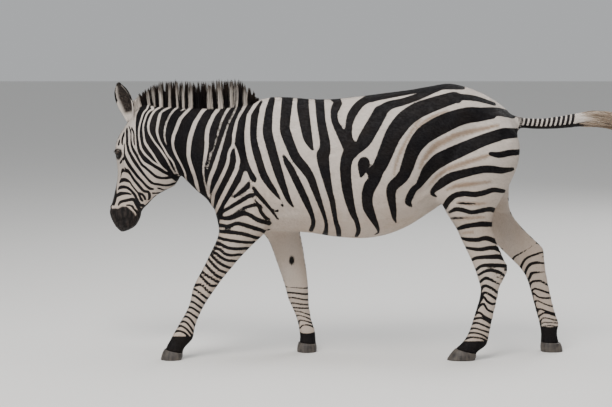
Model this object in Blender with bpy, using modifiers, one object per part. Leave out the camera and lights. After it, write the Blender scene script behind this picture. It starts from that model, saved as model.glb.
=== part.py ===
"""A life-size plains zebra walking, as a still museum model: faceted solids, one object for each part.

Metres, +Z up. It stands 1.30 m at the withers and faces -X. Its left side is at -Y, its soles are on z = 0.
The flesh is lofted from ribs, fused and eased into one body, turned at the neck, and parted by thin cuts.
"""

import math

import bmesh
import bpy
import numpy as np
from mathutils import Matrix, Vector

# Driving sizes
SEAM = 0.0005  # gap left by each cut between two parts
SKIN_GAP = 0.0004  # gap between the flesh and what stands on it
VOXEL = 0.011  # grain of the fused body
FLESH_TRIANGLES = 5400  # of the whole fused body, before it is parted
RING_POINTS = 28  # round each loft of flesh
HOOF_POINTS = 16
STEPS = 4  # rings between one rib and the next

# The head is turned away to the animal's right. The neck shares the turn, from its base to the nape.
HEAD_TURN = math.radians(18)
TURN_PIVOT = -0.95
NECK_BASE = ((-0.740, 1.280), 0.302)  # a place on the plane where the turn starts, and its slope x / z
NECK_REACH = (0.450, 0.802, 0.080)  # length of the turn there, how it shortens lower down, and its least
TURN_FLOOR = 0.450  # nothing below this turns

EYE_RADIUS = 0.0195
EYE = (-1.358, 0.075, 1.030)  # mirrored to both sides, before the head turns

# Ribs. Each is: front (or top) x, z, back (or bottom) x, z, half width, where it is widest from front to
# back, and how square the front and the back are: 2 for an ellipse, more for squarer and less for sharper.
TRUNK = (
    (-0.874, 0.820, -0.874, 0.735, 0.050, 0.50, 2.0, 2.0),
    (-0.840, 0.960, -0.862, 0.690, 0.110, 0.55, 2.0, 2.2),
    (-0.770, 1.140, -0.800, 0.655, 0.160, 0.58, 1.7, 2.2),
    (-0.690, 1.272, -0.710, 0.642, 0.190, 0.60, 1.6, 2.2),
    (-0.600, 1.309, -0.600, 0.636, 0.216, 0.60, 1.6, 2.2),
    (-0.500, 1.310, -0.500, 0.633, 0.238, 0.59, 1.7, 2.2),
    (-0.400, 1.302, -0.400, 0.626, 0.254, 0.58, 1.85, 2.2),
    (-0.300, 1.300, -0.300, 0.610, 0.267, 0.58, 2.0, 2.2),
    (-0.200, 1.309, -0.200, 0.600, 0.276, 0.58, 2.1, 2.2),
    (-0.100, 1.321, -0.100, 0.600, 0.278, 0.57, 2.2, 2.2),
    (0.000, 1.334, 0.000, 0.620, 0.272, 0.55, 2.2, 2.2),
    (0.100, 1.347, 0.100, 0.662, 0.258, 0.50, 2.2, 2.2),
    (0.200, 1.364, 0.200, 0.726, 0.243, 0.44, 2.2, 2.2),
    (0.300, 1.378, 0.300, 0.790, 0.235, 0.40, 2.1, 2.2),
    (0.400, 1.355, 0.400, 0.805, 0.222, 0.40, 2.0, 2.2),
    (0.500, 1.311, 0.490, 0.820, 0.196, 0.42, 1.9, 2.2),
    (0.575, 1.258, 0.560, 0.860, 0.155, 0.45, 1.9, 2.2),
    (0.622, 1.200, 0.612, 0.930, 0.105, 0.45, 2.0, 2.0),
    (0.642, 1.130, 0.640, 1.020, 0.050, 0.50, 2.0, 2.0),
)
NECK = (
    (-0.600, 1.290, -0.740, 0.720, 0.140, 0.62, 1.6, 2.2),
    (-0.700, 1.280, -0.835, 0.715, 0.148, 0.64, 1.6, 2.2),
    (-0.790, 1.270, -0.888, 0.755, 0.136, 0.64, 1.55, 2.2),
    (-0.880, 1.268, -0.920, 0.802, 0.117, 0.62, 1.55, 2.2),
    (-0.970, 1.270, -0.962, 0.838, 0.100, 0.60, 1.6, 2.2),
    (-1.060, 1.271, -1.007, 0.878, 0.087, 0.56, 1.7, 2.2),
    (-1.140, 1.268, -1.050, 0.918, 0.080, 0.53, 1.8, 2.2),
    (-1.200, 1.262, -1.088, 0.970, 0.077, 0.50, 2.0, 2.2),
    (-1.243, 1.246, -1.130, 1.020, 0.066, 0.50, 2.0, 2.0),
    (-1.258, 1.220, -1.180, 1.080, 0.030, 0.50, 2.0, 2.0),
)
HEAD = (
    (-1.236, 1.275, -1.130, 1.245, 0.034, 0.50, 2.0, 2.0),
    (-1.275, 1.252, -1.068, 1.185, 0.066, 0.45, 2.1, 2.0),
    (-1.318, 1.206, -1.038, 1.120, 0.083, 0.42, 2.2, 2.0),
    (-1.354, 1.150, -1.024, 1.052, 0.090, 0.38, 2.3, 2.1),
    (-1.387, 1.098, -1.024, 0.987, 0.095, 0.34, 2.4, 2.3),
    (-1.401, 1.043, -1.046, 0.936, 0.097, 0.34, 2.5, 2.5),
    (-1.398, 0.990, -1.068, 0.891, 0.088, 0.36, 2.4, 2.6),
    (-1.393, 0.937, -1.093, 0.857, 0.076, 0.38, 2.3, 2.5),
    (-1.398, 0.883, -1.140, 0.832, 0.064, 0.38, 2.2, 2.2),
    (-1.411, 0.830, -1.188, 0.803, 0.055, 0.38, 2.2, 2.0),
    (-1.424, 0.779, -1.232, 0.759, 0.050, 0.42, 2.3, 2.0),
    (-1.437, 0.738, -1.266, 0.725, 0.051, 0.42, 2.4, 2.1),
    (-1.439, 0.702, -1.273, 0.697, 0.053, 0.42, 2.4, 2.2),
    (-1.425, 0.667, -1.287, 0.669, 0.050, 0.45, 2.3, 2.3),
    (-1.404, 0.634, -1.305, 0.643, 0.038, 0.48, 2.2, 2.2),
    (-1.380, 0.611, -1.342, 0.621, 0.018, 0.50, 2.0, 2.0),
)
TAIL = (
    (0.560, 1.240, 0.560, 1.130, 0.040, 0.50, 2.0, 2.0),
    (0.620, 1.222, 0.635, 1.150, 0.034, 0.50, 2.0, 2.0),
    (0.680, 1.208, 0.684, 1.149, 0.030, 0.50, 2.0, 2.0),
    (0.760, 1.204, 0.762, 1.146, 0.029, 0.50, 2.0, 2.0),
    (0.850, 1.215, 0.852, 1.149, 0.031, 0.50, 2.0, 2.0),
    (0.950, 1.232, 0.952, 1.158, 0.034, 0.50, 2.0, 2.0),
    (1.040, 1.238, 1.040, 1.160, 0.037, 0.50, 2.0, 2.0),
    (1.130, 1.228, 1.120, 1.146, 0.040, 0.50, 2.0, 2.0),
    (1.220, 1.192, 1.198, 1.106, 0.041, 0.50, 2.0, 2.0),
    (1.300, 1.136, 1.268, 1.062, 0.036, 0.50, 2.0, 2.0),
    (1.360, 1.076, 1.330, 1.020, 0.024, 0.50, 2.0, 2.0),
    (1.397, 1.026, 1.380, 1.000, 0.008, 0.50, 2.0, 2.0),
)
# Legs have a last value: how far the rib's middle is from the animal's middle.
FORE_LEFT = (
    (-0.780, 1.040, -0.560, 1.060, 0.050, 0.50, 2.0, 2.0, 0.130),
    (-0.848, 0.920, -0.570, 0.950, 0.078, 0.50, 2.2, 2.2, 0.140),
    (-0.876, 0.810, -0.575, 0.840, 0.090, 0.48, 2.2, 2.2, 0.142),
    (-0.866, 0.725, -0.585, 0.730, 0.088, 0.48, 2.2, 2.2, 0.142),
    (-0.852, 0.655, -0.610, 0.650, 0.078, 0.48, 2.2, 2.2, 0.140),
    (-0.864, 0.605, -0.672, 0.590, 0.068, 0.45, 2.2, 2.0, 0.137),
    (-0.886, 0.558, -0.735, 0.525, 0.060, 0.45, 2.2, 1.9, 0.132),
    (-0.911, 0.507, -0.787, 0.463, 0.052, 0.45, 2.2, 1.9, 0.127),
    (-0.936, 0.456, -0.835, 0.405, 0.046, 0.45, 2.2, 2.0, 0.123),
    (-0.962, 0.408, -0.871, 0.355, 0.044, 0.45, 2.4, 2.2, 0.120),
    (-0.984, 0.358, -0.898, 0.315, 0.045, 0.45, 2.6, 2.4, 0.118),
    (-0.993, 0.315, -0.918, 0.284, 0.042, 0.45, 2.5, 2.2, 0.116),
    (-1.004, 0.274, -0.935, 0.252, 0.034, 0.42, 2.2, 2.0, 0.114),
    (-1.023, 0.234, -0.953, 0.213, 0.029, 0.40, 2.1, 1.9, 0.112),
    (-1.045, 0.196, -0.968, 0.172, 0.029, 0.40, 2.1, 1.9, 0.111),
    (-1.065, 0.160, -0.977, 0.135, 0.032, 0.42, 2.2, 2.0, 0.110),
    (-1.083, 0.130, -0.983, 0.104, 0.036, 0.42, 2.2, 2.0, 0.110),
    (-1.098, 0.102, -1.005, 0.078, 0.035, 0.45, 2.2, 2.0, 0.110),
    (-1.113, 0.074, -1.024, 0.058, 0.039, 0.45, 2.3, 2.1, 0.110),
    (-1.123, 0.052, -1.033, 0.036, 0.041, 0.45, 2.3, 2.1, 0.110),
)
FORE_RIGHT = (
    (-0.780, 1.040, -0.560, 1.060, 0.050, 0.50, 2.0, 2.0, 0.130),
    (-0.830, 0.920, -0.530, 0.950, 0.078, 0.50, 2.2, 2.2, 0.140),
    (-0.845, 0.810, -0.490, 0.840, 0.090, 0.48, 2.2, 2.2, 0.142),
    (-0.800, 0.730, -0.460, 0.740, 0.086, 0.48, 2.2, 2.2, 0.142),
    (-0.700, 0.655, -0.447, 0.662, 0.074, 0.48, 2.2, 2.2, 0.140),
    (-0.624, 0.590, -0.441, 0.600, 0.064, 0.45, 2.2, 2.0, 0.136),
    (-0.594, 0.532, -0.431, 0.540, 0.056, 0.45, 2.2, 1.9, 0.131),
    (-0.574, 0.474, -0.422, 0.480, 0.050, 0.45, 2.2, 1.9, 0.126),
    (-0.553, 0.416, -0.413, 0.420, 0.045, 0.45, 2.2, 2.0, 0.122),
    (-0.535, 0.364, -0.407, 0.366, 0.044, 0.45, 2.4, 2.2, 0.119),
    (-0.521, 0.316, -0.404, 0.318, 0.045, 0.45, 2.6, 2.4, 0.117),
    (-0.511, 0.276, -0.402, 0.278, 0.042, 0.45, 2.5, 2.2, 0.115),
    (-0.494, 0.236, -0.400, 0.240, 0.034, 0.42, 2.2, 2.0, 0.113),
    (-0.478, 0.200, -0.394, 0.202, 0.029, 0.40, 2.1, 1.9, 0.112),
    (-0.464, 0.160, -0.387, 0.162, 0.029, 0.40, 2.1, 1.9, 0.111),
    (-0.457, 0.128, -0.376, 0.128, 0.033, 0.42, 2.2, 2.0, 0.110),
    (-0.452, 0.100, -0.368, 0.098, 0.036, 0.42, 2.2, 2.0, 0.110),
    (-0.450, 0.075, -0.366, 0.072, 0.036, 0.45, 2.3, 2.1, 0.110),
    (-0.451, 0.050, -0.364, 0.046, 0.040, 0.45, 2.3, 2.1, 0.110),
)
HIND_LEFT = (
    (0.300, 1.230, 0.560, 1.240, 0.060, 0.50, 2.0, 2.0, 0.110),
    (0.250, 1.110, 0.632, 1.120, 0.108, 0.48, 2.2, 2.2, 0.125),
    (0.238, 0.980, 0.638, 1.020, 0.118, 0.48, 2.2, 2.2, 0.140),
    (0.236, 0.880, 0.610, 0.925, 0.106, 0.45, 2.2, 2.2, 0.150),
    (0.248, 0.795, 0.568, 0.838, 0.090, 0.42, 2.2, 2.0, 0.155),
    (0.284, 0.727, 0.521, 0.757, 0.075, 0.42, 2.2, 1.9, 0.155),
    (0.325, 0.668, 0.508, 0.692, 0.062, 0.42, 2.2, 1.9, 0.150),
    (0.352, 0.610, 0.519, 0.630, 0.053, 0.42, 2.2, 1.8, 0.145),
    (0.379, 0.556, 0.543, 0.570, 0.047, 0.40, 2.3, 1.7, 0.140),
    (0.404, 0.503, 0.570, 0.512, 0.045, 0.38, 2.4, 1.6, 0.136),
    (0.424, 0.455, 0.589, 0.465, 0.046, 0.38, 2.5, 1.6, 0.133),
    (0.440, 0.406, 0.572, 0.413, 0.044, 0.40, 2.5, 1.8, 0.130),
    (0.452, 0.360, 0.549, 0.368, 0.037, 0.42, 2.4, 1.9, 0.128),
    (0.446, 0.310, 0.541, 0.318, 0.031, 0.42, 2.2, 1.9, 0.126),
    (0.431, 0.256, 0.530, 0.264, 0.029, 0.42, 2.2, 1.9, 0.124),
    (0.417, 0.206, 0.518, 0.213, 0.029, 0.42, 2.2, 1.9, 0.122),
    (0.405, 0.166, 0.507, 0.162, 0.032, 0.42, 2.2, 2.0, 0.121),
    (0.393, 0.134, 0.499, 0.116, 0.036, 0.42, 2.2, 2.0, 0.120),
    (0.376, 0.103, 0.488, 0.075, 0.035, 0.45, 2.2, 2.0, 0.120),
    (0.352, 0.076, 0.458, 0.050, 0.037, 0.45, 2.3, 2.1, 0.120),
    (0.333, 0.056, 0.438, 0.034, 0.040, 0.45, 2.3, 2.1, 0.120),
)
HIND_RIGHT = (
    (0.320, 1.220, 0.570, 1.230, 0.060, 0.50, 2.0, 2.0, 0.110),
    (0.270, 1.100, 0.632, 1.110, 0.108, 0.48, 2.2, 2.2, 0.125),
    (0.265, 0.970, 0.638, 1.010, 0.118, 0.48, 2.2, 2.2, 0.140),
    (0.290, 0.880, 0.628, 0.915, 0.106, 0.45, 2.2, 2.2, 0.148),
    (0.345, 0.800, 0.620, 0.832, 0.088, 0.42, 2.2, 2.0, 0.150),
    (0.412, 0.722, 0.620, 0.752, 0.070, 0.42, 2.2, 1.9, 0.148),
    (0.482, 0.640, 0.642, 0.692, 0.058, 0.42, 2.2, 1.9, 0.144),
    (0.552, 0.552, 0.694, 0.630, 0.051, 0.42, 2.2, 1.8, 0.140),
    (0.618, 0.486, 0.754, 0.573, 0.047, 0.40, 2.3, 1.7, 0.136),
    (0.672, 0.433, 0.796, 0.530, 0.046, 0.38, 2.5, 1.6, 0.133),
    (0.705, 0.386, 0.803, 0.468, 0.044, 0.38, 2.5, 1.7, 0.130),
    (0.722, 0.340, 0.810, 0.415, 0.039, 0.40, 2.4, 1.9, 0.128),
    (0.736, 0.290, 0.823, 0.350, 0.032, 0.42, 2.2, 1.9, 0.126),
    (0.749, 0.240, 0.839, 0.280, 0.029, 0.42, 2.2, 1.9, 0.124),
    (0.762, 0.193, 0.853, 0.222, 0.029, 0.42, 2.2, 1.9, 0.122),
    (0.773, 0.156, 0.867, 0.178, 0.032, 0.42, 2.2, 2.0, 0.121),
    (0.780, 0.125, 0.879, 0.140, 0.036, 0.42, 2.2, 2.0, 0.120),
    (0.784, 0.096, 0.871, 0.104, 0.035, 0.45, 2.2, 2.0, 0.120),
    (0.785, 0.070, 0.874, 0.072, 0.037, 0.45, 2.3, 2.1, 0.120),
    (0.784, 0.050, 0.880, 0.046, 0.040, 0.45, 2.3, 2.1, 0.120),
)

# Hooves: coronet front x, z and back x, z; toe and heel x on the ground; distance from the middle; side.
HOOVES = {
    "hoof_fore_left": (-1.127, 0.053, -1.036, 0.034, -1.146, -1.042, 0.110, -1),
    "hoof_fore_right": (-0.455, 0.050, -0.366, 0.042, -0.463, -0.364, 0.110, 1),
    "hoof_hind_left": (0.330, 0.057, 0.434, 0.032, 0.288, 0.428, 0.120, -1),
    "hoof_hind_right": (0.787, 0.050, 0.886, 0.044, 0.787, 0.898, 0.120, 1),
}
HOOF_HALF_TOP = 0.041
HOOF_HALF_SOLE = 0.050

# Swellings and hollows, laid over the fused body on both sides before the head turns:
# place, reach, and how far it moves each point there.
STROKES = (
    ((-1.366, 0.080, 1.058), 0.040, (-0.002, 0.014, 0.004)),  # brow
    ((-1.358, 0.086, 1.008), 0.030, (0.000, 0.008, 0.000)),  # below the eye
    ((-1.324, 0.090, 1.033), 0.030, (0.000, 0.006, 0.000)),  # behind the eye
    ((-1.305, 0.088, 1.105), 0.036, (0.002, -0.008, 0.000)),  # hollow of the temple
    ((-1.110, 0.086, 0.980), 0.085, (0.000, 0.016, 0.000)),  # cheek
    ((-1.300, 0.080, 0.960), 0.050, (0.000, 0.007, 0.000)),  # cheekbone
    ((-1.250, 0.060, 0.870), 0.045, (0.000, -0.008, 0.000)),  # hollow before the cheek
    ((-1.415, 0.040, 0.722), 0.028, (-0.004, 0.010, 0.002)),  # nostril
    ((-1.335, 0.045, 0.645), 0.032, (0.000, 0.006, 0.000)),  # lips
    ((-1.070, 0.060, 1.150), 0.080, (0.000, -0.008, 0.000)),  # hollow behind the jaw
    ((-0.690, 0.185, 1.120), 0.130, (0.000, 0.016, 0.000)),  # shoulder blade
    ((-0.770, 0.170, 0.900), 0.120, (-0.006, 0.020, 0.000)),  # point of the shoulder
    ((-0.630, 0.200, 0.830), 0.100, (0.000, 0.012, 0.000)),  # upper arm
    ((0.330, 0.220, 1.240), 0.110, (0.000, 0.012, 0.006)),  # point of the hip
    ((0.450, 0.220, 1.020), 0.160, (0.000, 0.020, 0.000)),  # thigh
    ((0.190, 0.230, 0.900), 0.100, (0.000, -0.014, 0.000)),  # flank
    ((0.560, 0.120, 1.060), 0.090, (0.010, 0.012, 0.000)),  # buttock
)
# Junctions that are eased more than the rest: place, reach, rounds of easing.
JUNCTIONS = (
    ((-0.790, 0.130, 0.780), 0.200, 26),
    ((-0.600, 0.150, 0.680), 0.120, 22),
    ((-0.480, 0.140, 0.640), 0.120, 22),
    ((-0.790, 0.090, 1.090), 0.260, 26),
    ((-1.130, 0.070, 1.100), 0.130, 14),
    ((-1.200, 0.050, 1.220), 0.090, 14),
    ((0.260, 0.170, 0.820), 0.170, 26),
    ((0.420, 0.150, 0.820), 0.200, 26),
    ((0.560, 0.130, 0.900), 0.140, 20),
    ((0.500, 0.160, 1.160), 0.160, 20),
    ((0.640, 0.020, 1.170), 0.080, 14),
)

# Cuts between the parts: place, direction across the cut (x, z), reach along the cut and to each side.
CUTS = (
    ((-1.090, 0.055, 1.080), (-0.906, -0.423), 0.265, 0.170),  # nape
    ((-0.792, 0.000, 1.030), (-0.956, 0.292), 0.335, 0.300),  # base of the neck
    ((-0.760, -0.140, 0.610), (-0.243, -0.970), 0.150, 0.130),  # left elbow
    ((-0.530, 0.140, 0.597), (0.000, -1.000), 0.150, 0.130),  # right elbow
    ((0.400, -0.150, 0.725), (0.000, -1.000), 0.200, 0.140),  # left stifle
    ((0.530, 0.150, 0.725), (0.000, -1.000), 0.200, 0.140),  # right stifle
    ((-0.893, -0.122, 0.407), (-0.548, -0.837), 0.100, 0.095),  # left knee
    ((-0.484, 0.121, 0.400), (0.105, -0.995), 0.100, 0.095),  # right knee
    ((0.468, -0.140, 0.540), (0.340, -0.940), 0.120, 0.100),  # left hock
    ((0.654, 0.140, 0.566), (0.680, -0.733), 0.120, 0.100),  # right hock
    ((0.668, 0.000, 1.178), (1.000, 0.000), 0.075, 0.070),  # root of the tail
    ((0.960, 0.000, 1.197), (0.990, 0.100), 0.080, 0.075),  # end of the dock
)
# A place inside each part of the flesh, by which it is known.
FLESH = {
    "head": (-1.25, 0.07, 0.98),
    "neck": (-0.95, 0.00, 1.08),
    "trunk": (-0.10, 0.00, 1.00),
    "leg_upper_fore_left": (-0.80, -0.13, 0.52),
    "leg_upper_fore_right": (-0.51, 0.13, 0.50),
    "leg_upper_hind_left": (0.42, -0.15, 0.63),
    "leg_upper_hind_right": (0.57, 0.15, 0.66),
    "leg_lower_fore_left": (-0.96, -0.11, 0.24),
    "leg_lower_fore_right": (-0.43, 0.11, 0.20),
    "leg_lower_hind_left": (0.48, -0.12, 0.30),
    "leg_lower_hind_right": (0.79, 0.12, 0.30),
    "tail": (0.81, 0.00, 1.18),
    "tail_switch": (1.15, 0.00, 1.18),
}

# Ears: root, tip and the way each opens. The right one leans out and back.
EARS = {
    "ear_left": ((-1.302, -0.062, 1.188), (-1.347, -0.098, 1.376), (-0.31, -0.95, 0.0)),
    "ear_right": ((-1.300, 0.064, 1.188), (-1.320, 0.188, 1.296), (-0.35, 0.40, -0.60)),
}
EAR_WALL = 0.006
EAR_ARC = math.radians(78)
# Ear stations: share of the length, half width, depth of the cup.
EAR = (
    (0.00, 0.024, 0.030),
    (0.12, 0.030, 0.036),
    (0.28, 0.043, 0.040),
    (0.45, 0.051, 0.036),
    (0.62, 0.052, 0.028),
    (0.78, 0.044, 0.020),
    (0.90, 0.027, 0.013),
    (1.00, 0.010, 0.008),
)

# Mane, from the withers to the forehead: root x, z inside the neck, top x, z, half thickness at the root.
MANE = (
    (-0.668, 1.270, -0.676, 1.306, 0.012),
    (-0.705, 1.262, -0.722, 1.362, 0.018),
    (-0.750, 1.255, -0.765, 1.402, 0.020),
    (-0.820, 1.250, -0.832, 1.411, 0.022),
    (-0.910, 1.248, -0.920, 1.398, 0.024),
    (-1.000, 1.250, -1.008, 1.395, 0.024),
    (-1.080, 1.250, -1.085, 1.400, 0.024),
    (-1.150, 1.248, -1.155, 1.390, 0.023),
    (-1.200, 1.245, -1.212, 1.364, 0.022),
    (-1.235, 1.238, -1.254, 1.332, 0.020),
    (-1.260, 1.218, -1.286, 1.303, 0.018),
    (-1.282, 1.190, -1.312, 1.258, 0.014),
    (-1.300, 1.165, -1.332, 1.208, 0.008),
)
MANE_JAG = 0.006  # how far the tips of the locks rise and fall

COATS = {
    "skin": (0.62, 0.57, 0.52),
    "mane": (0.10, 0.08, 0.07),
    "horn": (0.14, 0.12, 0.11),
    "eye": (0.03, 0.02, 0.02),
}


def spread(ribs, steps):
    """Ribs at even steps between the given ones, along a curve through them."""
    rows = np.array(ribs)
    ends = np.vstack((2 * rows[:1] - rows[1:2], rows, 2 * rows[-1:] - rows[-2:-1]))
    out = []
    for i in range(len(rows) - 1):
        p0, p1, p2, p3 = ends[i:i + 4]
        for k in range(steps):
            t = k / steps
            out.append(0.5 * (2 * p1 + (p2 - p0) * t + (2 * p0 - 5 * p1 + 4 * p2 - p3) * t * t
                              + (3 * p1 - p0 - 3 * p2 + p3) * t ** 3))
    out.append(rows[-1])
    return out


def ring(rib, side=0, count=RING_POINTS):
    """Points round one rib: two half superellipses that meet where it is widest."""
    fx, fz, bx, bz, half, widest, square_front, square_back = rib[:8]
    middle = side * rib[8] if len(rib) > 8 else 0.0
    points = []
    for k in range(count):
        angle = 2 * math.pi * k / count
        along, across = math.cos(angle), math.sin(angle)
        power = 2 / (square_front if along > 0 else square_back)
        reach = abs(along) ** power
        share = widest * (1 - reach) if along > 0 else widest + (1 - widest) * reach
        y = middle + half * math.copysign(abs(across) ** power, across)
        points.append((fx + (bx - fx) * share, y, fz + (bz - fz) * share))
    return points


def skinned(bm, loops):
    """A closed body through the loops of points, added to bm."""
    rings = [[bm.verts.new(p) for p in loop] for loop in loops]
    faces = []
    for low, high in zip(rings, rings[1:]):
        for k in range(len(low)):
            n = (k + 1) % len(low)
            faces.append(bm.faces.new((low[k], low[n], high[n], high[k])))
    faces.append(bm.faces.new(rings[0][::-1]))
    faces.append(bm.faces.new(rings[-1]))
    bmesh.ops.recalc_face_normals(bm, faces=faces)


def loft(bm, ribs, side=0):
    """A closed body through the ribs, added to bm."""
    skinned(bm, [ring(rib, side) for rib in spread(ribs, STEPS)])


def lengthened(ribs, drop):
    """The ribs with one more, lower by drop, so that a cut can end the leg cleanly."""
    last = list(ribs[-1])
    last[1] -= drop
    last[3] -= drop
    return ribs + (tuple(last),)


def made(name, bm, collection):
    """An object of bm in the collection."""
    mesh = bpy.data.meshes.new(name)
    bm.to_mesh(mesh)
    bm.free()
    obj = bpy.data.objects.new(name, mesh)
    collection.objects.link(obj)
    return obj


def settled(obj):
    """Replaces the object's mesh with what its modifiers make of it."""
    graph = bpy.context.evaluated_depsgraph_get()
    mesh = bpy.data.meshes.new_from_object(obj.evaluated_get(graph))
    obj.modifiers.clear()
    obj.data = mesh


def eased(co, edges, rounds, share=None, hold=True):
    """Moves each point towards the middle of its neighbours, and back a little where the size is to hold."""
    a, b = edges[:, 0], edges[:, 1]
    count = np.bincount(a, minlength=len(co)) + np.bincount(b, minlength=len(co))
    weight = np.ones(len(co)) if share is None else share
    for _ in range(rounds):
        for factor in (0.5, -0.52) if hold else (0.5,):
            total = np.empty_like(co)
            for axis in range(3):
                total[:, axis] = (np.bincount(a, co[b, axis], len(co)) + np.bincount(b, co[a, axis], len(co)))
            co = co + (total / count[:, None] - co) * (factor * weight)[:, None]
    return co


def falloff(co, place, reach):
    """1 at the place, easing to 0 at the reach, the same on both sides."""
    gap = np.column_stack((co[:, 0], np.abs(co[:, 1]), co[:, 2])) - np.array(place)
    near = np.clip(1 - np.sum(gap * gap, axis=1) / reach ** 2, 0, 1)
    return near * near


def turned(co):
    """The points with the head turned, the neck sharing the turn."""
    (base_x, base_z), slope = NECK_BASE
    lower = base_z - co[:, 2]
    length = np.maximum(NECK_REACH[0] - NECK_REACH[1] * lower, NECK_REACH[2])
    share = np.clip((base_x - co[:, 0] - slope * lower) / length, 0, 1)
    share = share * np.clip((co[:, 2] - TURN_FLOOR) / 0.1, 0, 1)
    angle = HEAD_TURN * share * share * (3 - 2 * share)
    cos, sin = np.cos(angle), np.sin(angle)
    x = co[:, 0] - TURN_PIVOT
    out = co.copy()
    out[:, 0] = TURN_PIVOT + x * cos + co[:, 1] * sin
    out[:, 1] = co[:, 1] * cos - x * sin
    return out


def reshape(mesh, change):
    """Passes the mesh's points through change and puts them back."""
    co = np.empty(len(mesh.vertices) * 3)
    mesh.vertices.foreach_get("co", co)
    mesh.vertices.foreach_set("co", change(co.reshape(-1, 3)).ravel())
    mesh.update()


def flesh_body(collection):
    """The whole fused body with its swellings, the head turned."""
    bm = bmesh.new()
    loft(bm, TRUNK)
    loft(bm, NECK)
    loft(bm, HEAD)
    loft(bm, TAIL)
    loft(bm, lengthened(FORE_LEFT, 0.030), -1)
    loft(bm, lengthened(FORE_RIGHT, 0.030), 1)
    loft(bm, lengthened(HIND_LEFT, 0.030), -1)
    loft(bm, lengthened(HIND_RIGHT, 0.030), 1)
    body = made("flesh", bm, collection)
    fuse = body.modifiers.new("fuse", "REMESH")
    fuse.mode = "VOXEL"
    fuse.voxel_size = VOXEL
    settled(body)
    mesh = body.data
    edges = np.empty(len(mesh.edges) * 2, dtype=np.int32)
    mesh.edges.foreach_get("vertices", edges)
    edges = edges.reshape(-1, 2)

    def form(co):
        co = eased(co, edges, 6)
        for place, reach, rounds in JUNCTIONS:
            co = eased(co, edges, rounds, falloff(co, place, reach), hold=False)
        for place, reach, offset in STROKES:
            push = falloff(co, place, reach)[:, None] * np.array(offset)
            push[:, 1] *= np.sign(co[:, 1])
            co = co + push
        return turned(co)

    reshape(mesh, form)
    thin = body.modifiers.new("thin", "DECIMATE")
    thin.ratio = FLESH_TRIANGLES / sum(len(p.vertices) - 2 for p in mesh.polygons)
    settled(body)
    return body


def slab(bm, place, across, reach, side, thick=SEAM):
    """A thin box across the body: the knife of one cut."""
    normal = Vector((across[0], 0, across[1])).normalized()
    along = Vector((0, 1, 0)).cross(normal)
    turn = Matrix((along, Vector((0, 1, 0)), normal)).transposed().to_4x4()
    size = Matrix.Diagonal((2 * reach, 2 * side, thick, 1))
    bmesh.ops.create_cube(bm, size=1, matrix=Matrix.Translation(Vector(place)) @ turn @ size)


def coronet(hoof):
    """Middle of the joint of a hoof and its leg, the direction down across it, and half its length."""
    fx, fz, bx, bz, _, _, y, side = HOOVES[hoof]
    back = Vector((bx - fx, 0, bz - fz))
    down = Vector((0, 1, 0)).cross(back).normalized()
    down = down if down.z < 0 else -down
    return Vector(((fx + bx) / 2, side * y, (fz + bz) / 2)), down, back.length / 2


def difference(obj, cutter):
    """Takes the cutter's shape out of the object."""
    cut = obj.modifiers.new("cut", "BOOLEAN")
    cut.operation = "DIFFERENCE"
    cut.solver = "EXACT"
    cut.object = cutter
    settled(obj)


def knives(collection):
    """Every cut through the flesh: thin slabs between the parts, and a block below each coronet."""
    bm = bmesh.new()
    for place, across, reach, side in CUTS:
        slab(bm, place, across, reach, side)
    for hoof in HOOVES:
        place, down, half = coronet(hoof)
        slab(bm, place + down * 0.05, (down.x, down.z), half + 0.035, 0.075, 0.10)
    return made("knives", bm, collection)


def parted(body, collection):
    """Splits the cut flesh into one object for each part."""
    bm = bmesh.new()
    bm.from_mesh(body.data)
    left = set(bm.verts)
    pieces = []
    while left:
        grown = {left.pop()}
        edge = list(grown)
        while edge:
            vert = edge.pop()
            for link in vert.link_edges:
                other = link.other_vert(vert)
                if other not in grown:
                    grown.add(other)
                    edge.append(other)
        left -= grown
        pieces.append(grown)
    objects = []
    for name, seed in FLESH.items():
        seed = Vector(seed)
        best = min(pieces, key=lambda verts: min((v.co - seed).length for v in verts))
        pieces.remove(best)
        out = bmesh.new()
        copy = {v: out.verts.new(v.co) for v in sorted(best, key=lambda v: v.index)}
        for face in bm.faces:
            if face.verts[0] in copy:
                out.faces.new([copy[v] for v in face.verts])
        bmesh.ops.triangulate(out, faces=out.faces[:])
        objects.append(made(name, out, collection))
    print("parts of flesh", len(objects), "left over", len(pieces))
    bm.free()
    return objects


def ear(name, collection):
    """One cupped ear, its wall of one thickness, standing in the head."""
    root, tip, opening = (Vector(v) for v in EARS[name])
    axis = tip - root
    opening = (opening - axis * (opening.dot(axis) / axis.length_squared)).normalized()
    across = axis.cross(opening).normalized()
    low = math.cos(EAR_ARC)
    loops = []
    for share, half, depth in EAR:
        middle = root + axis * share
        wall = min(EAR_WALL, 0.45 * half, 0.6 * depth)
        loop = []
        for k in range(9):
            angle = EAR_ARC * (k / 4 - 1)
            back = depth * (math.cos(angle) - low) / (1 - low)
            loop.append(middle + across * (half * math.sin(angle) / math.sin(EAR_ARC)) - opening * back)
        for k in range(7):
            angle = EAR_ARC * (1 - (k + 0.5) / 3.5)
            back = (depth - wall) * (math.cos(angle) - low) / (1 - low) - 0.3 * wall
            out = (half - wall) * math.sin(angle) / math.sin(EAR_ARC)
            loop.append(middle + across * out - opening * back)
        loops.append([tuple(p) for p in loop])
    bm = bmesh.new()
    skinned(bm, loops)
    obj = made(name, bm, collection)
    reshape(obj.data, turned)
    return obj


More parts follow.
